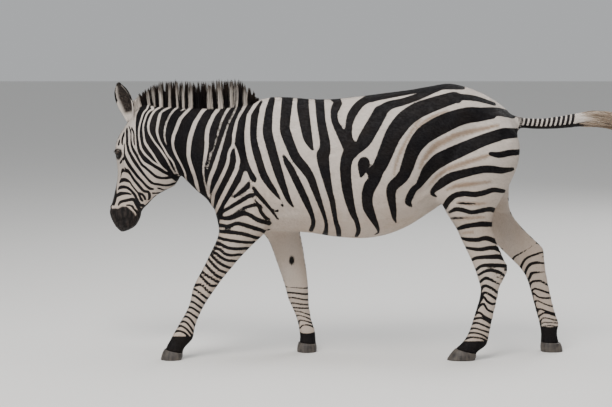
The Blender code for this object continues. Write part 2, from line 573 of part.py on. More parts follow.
def mane(name, collection):
    """The upright mane as a thin comb along the crest."""
    loops = []
    for k, (rx, rz, tx, tz, half) in enumerate(spread(MANE, 2)):
        jag = MANE_JAG * (1 if k % 2 else -1)
        loops.append([
            (rx, -half, rz), (rx, half, rz),
            ((rx + tx) / 2, 0.85 * half, (rz + tz) / 2),
            (tx, 0.4 * half, tz + jag), (tx, -0.4 * half, tz + jag),
            ((rx + tx) / 2, -0.85 * half, (rz + tz) / 2),
        ])
    bm = bmesh.new()
    skinned(bm, loops)
    obj = made(name, bm, collection)
    reshape(obj.data, turned)
    return obj


def hoof(name, collection):
    """One hoof, from its coronet down to a flat sole on the ground."""
    fx, fz, bx, bz, toe, heel, y, side = HOOVES[name]
    _, down, _ = coronet(name)
    fx, fz, bx, bz = (fx + down.x * SEAM, fz + down.z * SEAM, bx + down.x * SEAM, bz + down.z * SEAM)
    loops = []
    for share in (0.0, 0.30, 0.75, 1.0):
        bulge = 0.003 * math.sin(math.pi * share)
        rib = (
            fx + (toe - fx) * share - bulge, fz * (1 - share),
            bx + (heel - bx) * share + bulge, bz * (1 - share),
            HOOF_HALF_TOP + (HOOF_HALF_SOLE - HOOF_HALF_TOP) * share, 0.50, 2.2, 2.6, y,
        )
        loops.append(ring(rib, side, HOOF_POINTS))
    bm = bmesh.new()
    skinned(bm, loops)
    return made(name, bm, collection)


def ball(bm, side, radius):
    """An eyeball's sphere in its place in the turned head."""
    place = turned(np.array([[EYE[0], side * EYE[1], EYE[2]]]))[0]
    bmesh.ops.create_uvsphere(bm, u_segments=14, v_segments=8, radius=radius,
                              matrix=Matrix.Translation(Vector(place)))


def swollen(body, collection):
    """A copy of the flesh grown by the gap, to cut what stands on it."""
    copy = bpy.data.objects.new("swollen", body.data.copy())
    collection.objects.link(copy)
    grow = copy.modifiers.new("grow", "DISPLACE")
    grow.strength = SKIN_GAP
    grow.mid_level = 0.0
    settled(copy)
    return copy


def painted(obj, kind):
    """Gives the object a material of its own."""
    material = bpy.data.materials.new(obj.name + "_" + kind)
    material.use_nodes = True
    shader = next(n for n in material.node_tree.nodes if n.type == "BSDF_PRINCIPLED")
    shader.inputs["Base Color"].default_value = (*COATS[kind], 1.0)
    shader.inputs["Roughness"].default_value = 0.15 if kind == "eye" else 0.75
    obj.data.materials.clear()
    obj.data.materials.append(material)


def build():
    """Makes every part of the zebra."""
    for obj in list(bpy.data.objects):
        bpy.data.objects.remove(obj)
    animal = bpy.data.collections.new("zebra")
    tools = bpy.data.collections.new("zebra_cutters")
    for collection in (animal, tools):
        bpy.context.scene.collection.children.link(collection)

    body = flesh_body(tools)
    grown = swollen(body, tools)
    kinds = {}
    for name in EARS:
        obj = ear(name, animal)
        difference(obj, grown)
        kinds[obj] = "skin"
    comb = mane("mane", animal)
    difference(comb, grown)
    kinds[comb] = "mane"
    for name in HOOVES:
        kinds[hoof(name, animal)] = "horn"

    bm = bmesh.new()
    for side in (-1, 1):
        ball(bm, side, EYE_RADIUS + SKIN_GAP)
    difference(body, made("sockets", bm, tools))
    for name, side in (("eye_left", -1), ("eye_right", 1)):
        bm = bmesh.new()
        ball(bm, side, EYE_RADIUS)
        kinds[made(name, bm, animal)] = "eye"

    difference(body, knives(tools))
    for obj in parted(body, animal):
        kinds[obj] = "skin"
    for obj in list(tools.objects):
        bpy.data.objects.remove(obj)
    bpy.data.collections.remove(tools)

    corners = np.array([tuple(v.co) for obj in kinds for v in obj.data.vertices])
    low, high = corners.min(axis=0), corners.max(axis=0)
    shift = np.array([(low[0] + high[0]) / 2, (low[1] + high[1]) / 2, 0.0])
    for obj, kind in kinds.items():
        reshape(obj.data, lambda co: co - shift)
        painted(obj, kind)
    triangles = {obj.name: sum(len(p.vertices) - 2 for p in obj.data.polygons) for obj in kinds}
    print("box", np.round(high - low, 4), "moved by", np.round(-shift, 4), "lowest", round(low[2], 5))
    print("triangles", sum(triangles.values()), triangles)


build()
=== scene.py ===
# %% [markdown]
# A plains zebra walking, life size, as a still model. Everything is made about one skeleton of ribs. The skin
# is a set of lofts fused into one body, and the stripes are brush strokes in a side view of the animal with
# its head straight. The head is turned at the very end, so that both its sides can share one drawing.

# %% Setup
import math
import bmesh
import bpy
import numpy as np
from mathutils import Matrix, Vector


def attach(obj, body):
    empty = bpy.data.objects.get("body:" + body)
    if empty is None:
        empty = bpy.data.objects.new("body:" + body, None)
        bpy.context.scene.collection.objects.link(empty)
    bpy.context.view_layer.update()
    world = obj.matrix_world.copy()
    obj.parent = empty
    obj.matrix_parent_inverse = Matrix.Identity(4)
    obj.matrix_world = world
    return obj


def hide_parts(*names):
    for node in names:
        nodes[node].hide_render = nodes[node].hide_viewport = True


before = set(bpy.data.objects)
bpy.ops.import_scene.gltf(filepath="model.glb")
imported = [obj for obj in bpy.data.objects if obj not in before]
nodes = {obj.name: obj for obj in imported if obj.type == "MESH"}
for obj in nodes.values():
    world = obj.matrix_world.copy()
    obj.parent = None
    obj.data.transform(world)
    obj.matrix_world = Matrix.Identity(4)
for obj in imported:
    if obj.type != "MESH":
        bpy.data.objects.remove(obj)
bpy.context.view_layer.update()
print("nodes", sorted(nodes))

# %% [markdown]
# The sizes. The animal stands 1.30 m at the withers. It faces -X with its left side at -Y, and its soles are
# on z = 0. SHIFT brings the drawing's origin to the middle of the model's box.

# %% Sizes
SHIFT = np.array((0.0144, -0.0081, 0.0))
VOXEL = 0.011
RING_POINTS = 28
STEPS = 4
COAT_DEPTH = 0.0022
HEAD_TURN = math.radians(18)
TURN_PIVOT = -0.95
NECK_BASE = ((-0.740, 1.280), 0.302)
NECK_REACH = (0.450, 0.802, 0.080)
TURN_FLOOR = 0.450
EYE_RADIUS = 0.0195
EYE = (-1.358, 0.075, 1.030)

# %% [markdown]
# The ribs that the flesh is lofted through, the hooves, and the swellings laid over the fused body.

# %% Ribs
# Ribs. Each is: front (or top) x, z, back (or bottom) x, z, half width, where it is widest from front to
# back, and how square the front and the back are: 2 for an ellipse, more for squarer and less for sharper.
TRUNK = (
    (-0.874, 0.820, -0.874, 0.735, 0.050, 0.50, 2.0, 2.0),
    (-0.840, 0.960, -0.862, 0.690, 0.110, 0.55, 2.0, 2.2),
    (-0.770, 1.140, -0.800, 0.655, 0.160, 0.58, 1.7, 2.2),
    (-0.690, 1.272, -0.710, 0.642, 0.190, 0.60, 1.6, 2.2),
    (-0.600, 1.309, -0.600, 0.636, 0.216, 0.60, 1.6, 2.2),
    (-0.500, 1.310, -0.500, 0.633, 0.238, 0.59, 1.7, 2.2),
    (-0.400, 1.302, -0.400, 0.626, 0.254, 0.58, 1.85, 2.2),
    (-0.300, 1.300, -0.300, 0.610, 0.267, 0.58, 2.0, 2.2),
    (-0.200, 1.309, -0.200, 0.600, 0.276, 0.58, 2.1, 2.2),
    (-0.100, 1.321, -0.100, 0.600, 0.278, 0.57, 2.2, 2.2),
    (0.000, 1.334, 0.000, 0.620, 0.272, 0.55, 2.2, 2.2),
    (0.100, 1.347, 0.100, 0.662, 0.258, 0.50, 2.2, 2.2),
    (0.200, 1.364, 0.200, 0.726, 0.243, 0.44, 2.2, 2.2),
    (0.300, 1.378, 0.300, 0.790, 0.235, 0.40, 2.1, 2.2),
    (0.400, 1.355, 0.400, 0.805, 0.222, 0.40, 2.0, 2.2),
    (0.500, 1.311, 0.490, 0.820, 0.196, 0.42, 1.9, 2.2),
    (0.575, 1.258, 0.560, 0.860, 0.155, 0.45, 1.9, 2.2),
    (0.622, 1.200, 0.612, 0.930, 0.105, 0.45, 2.0, 2.0),
    (0.642, 1.130, 0.640, 1.020, 0.050, 0.50, 2.0, 2.0),
)
NECK = (
    (-0.600, 1.290, -0.740, 0.720, 0.140, 0.62, 1.6, 2.2),
    (-0.700, 1.280, -0.835, 0.715, 0.148, 0.64, 1.6, 2.2),
    (-0.790, 1.270, -0.888, 0.755, 0.136, 0.64, 1.55, 2.2),
    (-0.880, 1.268, -0.920, 0.802, 0.117, 0.62, 1.55, 2.2),
    (-0.970, 1.270, -0.962, 0.838, 0.100, 0.60, 1.6, 2.2),
    (-1.060, 1.271, -1.007, 0.878, 0.087, 0.56, 1.7, 2.2),
    (-1.140, 1.268, -1.050, 0.918, 0.080, 0.53, 1.8, 2.2),
    (-1.200, 1.262, -1.088, 0.970, 0.077, 0.50, 2.0, 2.2),
    (-1.243, 1.246, -1.130, 1.020, 0.066, 0.50, 2.0, 2.0),
    (-1.258, 1.220, -1.180, 1.080, 0.030, 0.50, 2.0, 2.0),
)
HEAD = (
    (-1.236, 1.275, -1.130, 1.245, 0.034, 0.50, 2.0, 2.0),
    (-1.275, 1.252, -1.068, 1.185, 0.066, 0.45, 2.1, 2.0),
    (-1.318, 1.206, -1.038, 1.120, 0.083, 0.42, 2.2, 2.0),
    (-1.354, 1.150, -1.024, 1.052, 0.090, 0.38, 2.3, 2.1),
    (-1.387, 1.098, -1.024, 0.987, 0.095, 0.34, 2.4, 2.3),
    (-1.401, 1.043, -1.046, 0.936, 0.097, 0.34, 2.5, 2.5),
    (-1.398, 0.990, -1.068, 0.891, 0.088, 0.36, 2.4, 2.6),
    (-1.393, 0.937, -1.093, 0.857, 0.076, 0.38, 2.3, 2.5),
    (-1.398, 0.883, -1.140, 0.832, 0.064, 0.38, 2.2, 2.2),
    (-1.411, 0.830, -1.188, 0.803, 0.055, 0.38, 2.2, 2.0),
    (-1.424, 0.779, -1.232, 0.759, 0.050, 0.42, 2.3, 2.0),
    (-1.437, 0.738, -1.266, 0.725, 0.051, 0.42, 2.4, 2.1),
    (-1.439, 0.702, -1.273, 0.697, 0.053, 0.42, 2.4, 2.2),
    (-1.425, 0.667, -1.287, 0.669, 0.050, 0.45, 2.3, 2.3),
    (-1.404, 0.634, -1.305, 0.643, 0.038, 0.48, 2.2, 2.2),
    (-1.380, 0.611, -1.342, 0.621, 0.018, 0.50, 2.0, 2.0),
)
TAIL = (
    (0.560, 1.240, 0.560, 1.130, 0.040, 0.50, 2.0, 2.0),
    (0.620, 1.222, 0.635, 1.150, 0.034, 0.50, 2.0, 2.0),
    (0.680, 1.208, 0.684, 1.149, 0.030, 0.50, 2.0, 2.0),
    (0.760, 1.204, 0.762, 1.146, 0.029, 0.50, 2.0, 2.0),
    (0.850, 1.215, 0.852, 1.149, 0.031, 0.50, 2.0, 2.0),
    (0.950, 1.232, 0.952, 1.158, 0.034, 0.50, 2.0, 2.0),
    (1.040, 1.238, 1.040, 1.160, 0.037, 0.50, 2.0, 2.0),
    (1.130, 1.228, 1.120, 1.146, 0.040, 0.50, 2.0, 2.0),
    (1.220, 1.192, 1.198, 1.106, 0.041, 0.50, 2.0, 2.0),
    (1.300, 1.136, 1.268, 1.062, 0.036, 0.50, 2.0, 2.0),
    (1.360, 1.076, 1.330, 1.020, 0.024, 0.50, 2.0, 2.0),
    (1.397, 1.026, 1.380, 1.000, 0.008, 0.50, 2.0, 2.0),
)
# Legs have a last value: how far the rib's middle is from the animal's middle.
FORE_LEFT = (
    (-0.780, 1.040, -0.560, 1.060, 0.050, 0.50, 2.0, 2.0, 0.130),
    (-0.848, 0.920, -0.570, 0.950, 0.078, 0.50, 2.2, 2.2, 0.140),
    (-0.876, 0.810, -0.575, 0.840, 0.090, 0.48, 2.2, 2.2, 0.142),
    (-0.866, 0.725, -0.585, 0.730, 0.088, 0.48, 2.2, 2.2, 0.142),
    (-0.852, 0.655, -0.610, 0.650, 0.078, 0.48, 2.2, 2.2, 0.140),
    (-0.864, 0.605, -0.672, 0.590, 0.068, 0.45, 2.2, 2.0, 0.137),
    (-0.886, 0.558, -0.735, 0.525, 0.060, 0.45, 2.2, 1.9, 0.132),
    (-0.911, 0.507, -0.787, 0.463, 0.052, 0.45, 2.2, 1.9, 0.127),
    (-0.936, 0.456, -0.835, 0.405, 0.046, 0.45, 2.2, 2.0, 0.123),
    (-0.962, 0.408, -0.871, 0.355, 0.044, 0.45, 2.4, 2.2, 0.120),
    (-0.984, 0.358, -0.898, 0.315, 0.045, 0.45, 2.6, 2.4, 0.118),
    (-0.993, 0.315, -0.918, 0.284, 0.042, 0.45, 2.5, 2.2, 0.116),
    (-1.004, 0.274, -0.935, 0.252, 0.034, 0.42, 2.2, 2.0, 0.114),
    (-1.023, 0.234, -0.953, 0.213, 0.029, 0.40, 2.1, 1.9, 0.112),
    (-1.045, 0.196, -0.968, 0.172, 0.029, 0.40, 2.1, 1.9, 0.111),
    (-1.065, 0.160, -0.977, 0.135, 0.032, 0.42, 2.2, 2.0, 0.110),
    (-1.083, 0.130, -0.983, 0.104, 0.036, 0.42, 2.2, 2.0, 0.110),
    (-1.098, 0.102, -1.005, 0.078, 0.035, 0.45, 2.2, 2.0, 0.110),
    (-1.113, 0.074, -1.024, 0.058, 0.039, 0.45, 2.3, 2.1, 0.110),
    (-1.123, 0.052, -1.033, 0.036, 0.041, 0.45, 2.3, 2.1, 0.110),
)
FORE_RIGHT = (
    (-0.780, 1.040, -0.560, 1.060, 0.050, 0.50, 2.0, 2.0, 0.130),
    (-0.830, 0.920, -0.530, 0.950, 0.078, 0.50, 2.2, 2.2, 0.140),
    (-0.845, 0.810, -0.490, 0.840, 0.090, 0.48, 2.2, 2.2, 0.142),
    (-0.800, 0.730, -0.460, 0.740, 0.086, 0.48, 2.2, 2.2, 0.142),
    (-0.700, 0.655, -0.447, 0.662, 0.074, 0.48, 2.2, 2.2, 0.140),
    (-0.624, 0.590, -0.441, 0.600, 0.064, 0.45, 2.2, 2.0, 0.136),
    (-0.594, 0.532, -0.431, 0.540, 0.056, 0.45, 2.2, 1.9, 0.131),
    (-0.574, 0.474, -0.422, 0.480, 0.050, 0.45, 2.2, 1.9, 0.126),
    (-0.553, 0.416, -0.413, 0.420, 0.045, 0.45, 2.2, 2.0, 0.122),
    (-0.535, 0.364, -0.407, 0.366, 0.044, 0.45, 2.4, 2.2, 0.119),
    (-0.521, 0.316, -0.404, 0.318, 0.045, 0.45, 2.6, 2.4, 0.117),
    (-0.511, 0.276, -0.402, 0.278, 0.042, 0.45, 2.5, 2.2, 0.115),
    (-0.494, 0.236, -0.400, 0.240, 0.034, 0.42, 2.2, 2.0, 0.113),
    (-0.478, 0.200, -0.394, 0.202, 0.029, 0.40, 2.1, 1.9, 0.112),
    (-0.464, 0.160, -0.387, 0.162, 0.029, 0.40, 2.1, 1.9, 0.111),
    (-0.457, 0.128, -0.376, 0.128, 0.033, 0.42, 2.2, 2.0, 0.110),
    (-0.452, 0.100, -0.368, 0.098, 0.036, 0.42, 2.2, 2.0, 0.110),
    (-0.450, 0.075, -0.366, 0.072, 0.036, 0.45, 2.3, 2.1, 0.110),
    (-0.451, 0.050, -0.364, 0.046, 0.040, 0.45, 2.3, 2.1, 0.110),
)
HIND_LEFT = (
    (0.300, 1.230, 0.560, 1.240, 0.060, 0.50, 2.0, 2.0, 0.110),
    (0.250, 1.110, 0.632, 1.120, 0.108, 0.48, 2.2, 2.2, 0.125),
    (0.238, 0.980, 0.638, 1.020, 0.118, 0.48, 2.2, 2.2, 0.140),
    (0.236, 0.880, 0.610, 0.925, 0.106, 0.45, 2.2, 2.2, 0.150),
    (0.248, 0.795, 0.568, 0.838, 0.090, 0.42, 2.2, 2.0, 0.155),
    (0.284, 0.727, 0.521, 0.757, 0.075, 0.42, 2.2, 1.9, 0.155),
    (0.325, 0.668, 0.508, 0.692, 0.062, 0.42, 2.2, 1.9, 0.150),
    (0.352, 0.610, 0.519, 0.630, 0.053, 0.42, 2.2, 1.8, 0.145),
    (0.379, 0.556, 0.543, 0.570, 0.047, 0.40, 2.3, 1.7, 0.140),
    (0.404, 0.503, 0.570, 0.512, 0.045, 0.38, 2.4, 1.6, 0.136),
    (0.424, 0.455, 0.589, 0.465, 0.046, 0.38, 2.5, 1.6, 0.133),
    (0.440, 0.406, 0.572, 0.413, 0.044, 0.40, 2.5, 1.8, 0.130),
    (0.452, 0.360, 0.549, 0.368, 0.037, 0.42, 2.4, 1.9, 0.128),
    (0.446, 0.310, 0.541, 0.318, 0.031, 0.42, 2.2, 1.9, 0.126),
    (0.431, 0.256, 0.530, 0.264, 0.029, 0.42, 2.2, 1.9, 0.124),
    (0.417, 0.206, 0.518, 0.213, 0.029, 0.42, 2.2, 1.9, 0.122),
    (0.405, 0.166, 0.507, 0.162, 0.032, 0.42, 2.2, 2.0, 0.121),
    (0.393, 0.134, 0.499, 0.116, 0.036, 0.42, 2.2, 2.0, 0.120),
    (0.376, 0.103, 0.488, 0.075, 0.035, 0.45, 2.2, 2.0, 0.120),
    (0.352, 0.076, 0.458, 0.050, 0.037, 0.45, 2.3, 2.1, 0.120),
    (0.333, 0.056, 0.438, 0.034, 0.040, 0.45, 2.3, 2.1, 0.120),
)
HIND_RIGHT = (
    (0.320, 1.220, 0.570, 1.230, 0.060, 0.50, 2.0, 2.0, 0.110),
    (0.270, 1.100, 0.632, 1.110, 0.108, 0.48, 2.2, 2.2, 0.125),
    (0.265, 0.970, 0.638, 1.010, 0.118, 0.48, 2.2, 2.2, 0.140),
    (0.290, 0.880, 0.628, 0.915, 0.106, 0.45, 2.2, 2.2, 0.148),
    (0.345, 0.800, 0.620, 0.832, 0.088, 0.42, 2.2, 2.0, 0.150),
    (0.412, 0.722, 0.620, 0.752, 0.070, 0.42, 2.2, 1.9, 0.148),
    (0.482, 0.640, 0.642, 0.692, 0.058, 0.42, 2.2, 1.9, 0.144),
    (0.552, 0.552, 0.694, 0.630, 0.051, 0.42, 2.2, 1.8, 0.140),
    (0.618, 0.486, 0.754, 0.573, 0.047, 0.40, 2.3, 1.7, 0.136),
    (0.672, 0.433, 0.796, 0.530, 0.046, 0.38, 2.5, 1.6, 0.133),
    (0.705, 0.386, 0.803, 0.468, 0.044, 0.38, 2.5, 1.7, 0.130),
    (0.722, 0.340, 0.810, 0.415, 0.039, 0.40, 2.4, 1.9, 0.128),
    (0.736, 0.290, 0.823, 0.350, 0.032, 0.42, 2.2, 1.9, 0.126),
    (0.749, 0.240, 0.839, 0.280, 0.029, 0.42, 2.2, 1.9, 0.124),
    (0.762, 0.193, 0.853, 0.222, 0.029, 0.42, 2.2, 1.9, 0.122),
    (0.773, 0.156, 0.867, 0.178, 0.032, 0.42, 2.2, 2.0, 0.121),
    (0.780, 0.125, 0.879, 0.140, 0.036, 0.42, 2.2, 2.0, 0.120),
    (0.784, 0.096, 0.871, 0.104, 0.035, 0.45, 2.2, 2.0, 0.120),
    (0.785, 0.070, 0.874, 0.072, 0.037, 0.45, 2.3, 2.1, 0.120),
    (0.784, 0.050, 0.880, 0.046, 0.040, 0.45, 2.3, 2.1, 0.120),
)

# Hooves: coronet front x, z and back x, z; toe and heel x on the ground; distance from the middle; side.
HOOVES = {
    "hoof_fore_left": (-1.127, 0.053, -1.036, 0.034, -1.146, -1.042, 0.110, -1),
    "hoof_fore_right": (-0.455, 0.050, -0.366, 0.042, -0.463, -0.364, 0.110, 1),
    "hoof_hind_left": (0.330, 0.057, 0.434, 0.032, 0.288, 0.428, 0.120, -1),
    "hoof_hind_right": (0.787, 0.050, 0.886, 0.044, 0.787, 0.898, 0.120, 1),
}
HOOF_HALF_TOP = 0.041
HOOF_HALF_SOLE = 0.050

# Swellings and hollows, laid over the fused body on both sides before the head turns:
# place, reach, and how far it moves each point there.
SWELLINGS = (
    ((-1.366, 0.080, 1.058), 0.040, (-0.002, 0.014, 0.004)),  # brow
    ((-1.358, 0.086, 1.008), 0.030, (0.000, 0.008, 0.000)),  # below the eye
    ((-1.324, 0.090, 1.033), 0.030, (0.000, 0.006, 0.000)),  # behind the eye
    ((-1.305, 0.088, 1.105), 0.036, (0.002, -0.008, 0.000)),  # hollow of the temple
    ((-1.110, 0.086, 0.980), 0.085, (0.000, 0.016, 0.000)),  # cheek
    ((-1.300, 0.080, 0.960), 0.050, (0.000, 0.007, 0.000)),  # cheekbone
    ((-1.250, 0.060, 0.870), 0.045, (0.000, -0.008, 0.000)),  # hollow before the cheek
    ((-1.415, 0.040, 0.722), 0.028, (-0.004, 0.010, 0.002)),  # nostril
    ((-1.335, 0.045, 0.645), 0.032, (0.000, 0.006, 0.000)),  # lips
    ((-1.070, 0.060, 1.150), 0.080, (0.000, -0.008, 0.000)),  # hollow behind the jaw
    ((-0.690, 0.185, 1.120), 0.130, (0.000, 0.016, 0.000)),  # shoulder blade
    ((-0.770, 0.170, 0.900), 0.120, (-0.006, 0.020, 0.000)),  # point of the shoulder
    ((-0.630, 0.200, 0.830), 0.100, (0.000, 0.012, 0.000)),  # upper arm
    ((0.330, 0.220, 1.240), 0.110, (0.000, 0.012, 0.006)),  # point of the hip
    ((0.450, 0.220, 1.020), 0.160, (0.000, 0.020, 0.000)),  # thigh
    ((0.190, 0.230, 0.900), 0.100, (0.000, -0.014, 0.000)),  # flank
    ((0.560, 0.120, 1.060), 0.090, (0.010, 0.012, 0.000)),  # buttock
)
# Junctions that are eased more than the rest: place, reach, rounds of easing.
JUNCTIONS = (
    ((-0.790, 0.130, 0.780), 0.200, 26),
    ((-0.600, 0.150, 0.680), 0.120, 22),
    ((-0.480, 0.140, 0.640), 0.120, 22),
    ((-0.790, 0.090, 1.090), 0.260, 26),
    ((-1.130, 0.070, 1.100), 0.130, 14),
    ((-1.200, 0.050, 1.220), 0.090, 14),
    ((0.260, 0.170, 0.820), 0.170, 26),
    ((0.420, 0.150, 0.820), 0.200, 26),
    ((0.560, 0.130, 0.900), 0.140, 20),
    ((0.500, 0.160, 1.160), 0.160, 20),
    ((0.640, 0.020, 1.170), 0.080, 14),
)

# Ears: root, tip and the way each opens. The right one leans out and back.
EARS = {
    "ear_left": ((-1.302, -0.062, 1.188), (-1.347, -0.098, 1.376), (-0.31, -0.95, 0.0)),
    "ear_right": ((-1.300, 0.064, 1.188), (-1.320, 0.188, 1.296), (-0.35, 0.40, -0.60)),
}
EAR_WALL = 0.006
EAR_ARC = math.radians(78)
# Ear stations: share of the length, half width, depth of the cup.
EAR = (
    (0.00, 0.024, 0.030),
    (0.12, 0.030, 0.036),
    (0.28, 0.043, 0.040),
    (0.45, 0.051, 0.036),
    (0.62, 0.052, 0.028),
    (0.78, 0.044, 0.020),
    (0.90, 0.027, 0.013),
    (1.00, 0.010, 0.008),
)

# Mane, from the withers to the forehead: root x, z inside the neck, top x, z, half thickness at the root.
MANE = (
    (-0.668, 1.270, -0.676, 1.306, 0.012),
    (-0.705, 1.262, -0.722, 1.362, 0.018),
    (-0.750, 1.255, -0.765, 1.402, 0.020),
    (-0.820, 1.250, -0.832, 1.411, 0.022),
    (-0.910, 1.248, -0.920, 1.398, 0.024),
    (-1.000, 1.250, -1.008, 1.395, 0.024),
    (-1.080, 1.250, -1.085, 1.400, 0.024),
    (-1.150, 1.248, -1.155, 1.390, 0.023),
    (-1.200, 1.245, -1.212, 1.364, 0.022),
    (-1.235, 1.238, -1.254, 1.332, 0.020),
    (-1.260, 1.218, -1.286, 1.303, 0.018),
    (-1.282, 1.190, -1.312, 1.258, 0.014),
    (-1.300, 1.165, -1.332, 1.208, 0.008),
)

# %% [markdown]
# Helpers that loft ribs into a closed body, ease a mesh, and turn the head.

# %% Lofts
def spread(ribs, steps):
    """Ribs at even steps between the given ones, along a curve through them."""
    rows = np.array(ribs)
    ends = np.vstack((2 * rows[:1] - rows[1:2], rows, 2 * rows[-1:] - rows[-2:-1]))
    out = []
    for i in range(len(rows) - 1):
        p0, p1, p2, p3 = ends[i:i + 4]
        for k in range(steps):
            t = k / steps
            out.append(0.5 * (2 * p1 + (p2 - p0) * t + (2 * p0 - 5 * p1 + 4 * p2 - p3) * t * t
                              + (3 * p1 - p0 - 3 * p2 + p3) * t ** 3))
    out.append(rows[-1])
    return out


def ring(rib, side=0, count=RING_POINTS):
    """Points round one rib: two half superellipses that meet where it is widest."""
    fx, fz, bx, bz, half, widest, square_front, square_back = rib[:8]
    middle = side * rib[8] if len(rib) > 8 else 0.0
    points = []
    for k in range(count):
        angle = 2 * math.pi * k / count
        along, across = math.cos(angle), math.sin(angle)
        power = 2 / (square_front if along > 0 else square_back)
        reach = abs(along) ** power
        share = widest * (1 - reach) if along > 0 else widest + (1 - widest) * reach
        y = middle + half * math.copysign(abs(across) ** power, across)
        points.append((fx + (bx - fx) * share, y, fz + (bz - fz) * share))
    return points


def skinned(bm, loops):
    """A closed body through the loops of points, added to bm."""
    rings = [[bm.verts.new(p) for p in loop] for loop in loops]
    faces = []
    for low, high in zip(rings, rings[1:]):
        for k in range(len(low)):
            n = (k + 1) % len(low)
            faces.append(bm.faces.new((low[k], low[n], high[n], high[k])))
    faces.append(bm.faces.new(rings[0][::-1]))
    faces.append(bm.faces.new(rings[-1]))
    bmesh.ops.recalc_face_normals(bm, faces=faces)


def loft(bm, ribs, side=0):
    """A closed body through the ribs, added to bm."""
    skinned(bm, [ring(rib, side) for rib in spread(ribs, STEPS)])


def made(name, bm, collection):
    """An object of bm in the collection."""
    mesh = bpy.data.meshes.new(name)
    bm.to_mesh(mesh)
    bm.free()
    obj = bpy.data.objects.new(name, mesh)
    collection.objects.link(obj)
    return obj


def settled(obj):
    """Replaces the object's mesh with what its modifiers make of it."""
    graph = bpy.context.evaluated_depsgraph_get()
    mesh = bpy.data.meshes.new_from_object(obj.evaluated_get(graph))
    obj.modifiers.clear()
    obj.data = mesh


def eased(co, edges, rounds, share=None, hold=True):
    """Moves each point towards the middle of its neighbours, and back a little where the size is to hold."""
    a, b = edges[:, 0], edges[:, 1]
    count = np.bincount(a, minlength=len(co)) + np.bincount(b, minlength=len(co))
    weight = np.ones(len(co)) if share is None else share
    for _ in range(rounds):
        for factor in (0.5, -0.52) if hold else (0.5,):
            total = np.empty_like(co)
            for axis in range(3):
                total[:, axis] = np.bincount(a, co[b, axis], len(co)) + np.bincount(b, co[a, axis], len(co))
            co = co + (total / count[:, None] - co) * (factor * weight)[:, None]
    return co


def falloff(co, place, reach):
    """1 at the place, easing to 0 at the reach, the same on both sides."""
    gap = np.column_stack((co[:, 0], np.abs(co[:, 1]), co[:, 2])) - np.array(place)
    near = np.clip(1 - np.sum(gap * gap, axis=1) / reach ** 2, 0, 1)
    return near * near


def turned(co):
    """The points with the head turned, the neck sharing the turn."""
    (base_x, base_z), slope = NECK_BASE
    lower = base_z - co[:, 2]
    length = np.maximum(NECK_REACH[0] - NECK_REACH[1] * lower, NECK_REACH[2])
    share = np.clip((base_x - co[:, 0] - slope * lower) / length, 0, 1)
    share = share * np.clip((co[:, 2] - TURN_FLOOR) / 0.1, 0, 1)
    angle = HEAD_TURN * share * share * (3 - 2 * share)
    cos, sin = np.cos(angle), np.sin(angle)
    x = co[:, 0] - TURN_PIVOT
    out = co.copy()
    out[:, 0] = TURN_PIVOT + x * cos + co[:, 1] * sin
    out[:, 1] = co[:, 1] * cos - x * sin
    return out


def lengthened(ribs, drop):
    """The ribs with one more, lower by drop, so that a cut can end the leg cleanly."""
    last = list(ribs[-1])
    last[1] -= drop
    last[3] -= drop
    return ribs + (tuple(last),)

# %% [markdown]
# The stripes, drawn as strokes in the side view with the head straight: x, z and half width in millimetres
# along each stroke. Strokes are painted in layers, as a brush would: the dark ground of the neck and the dark
# stripes, pale stripes over them, and dark lines over the pale. Bands of the legs are kept apart, as each leg
# carries them in its own pose.

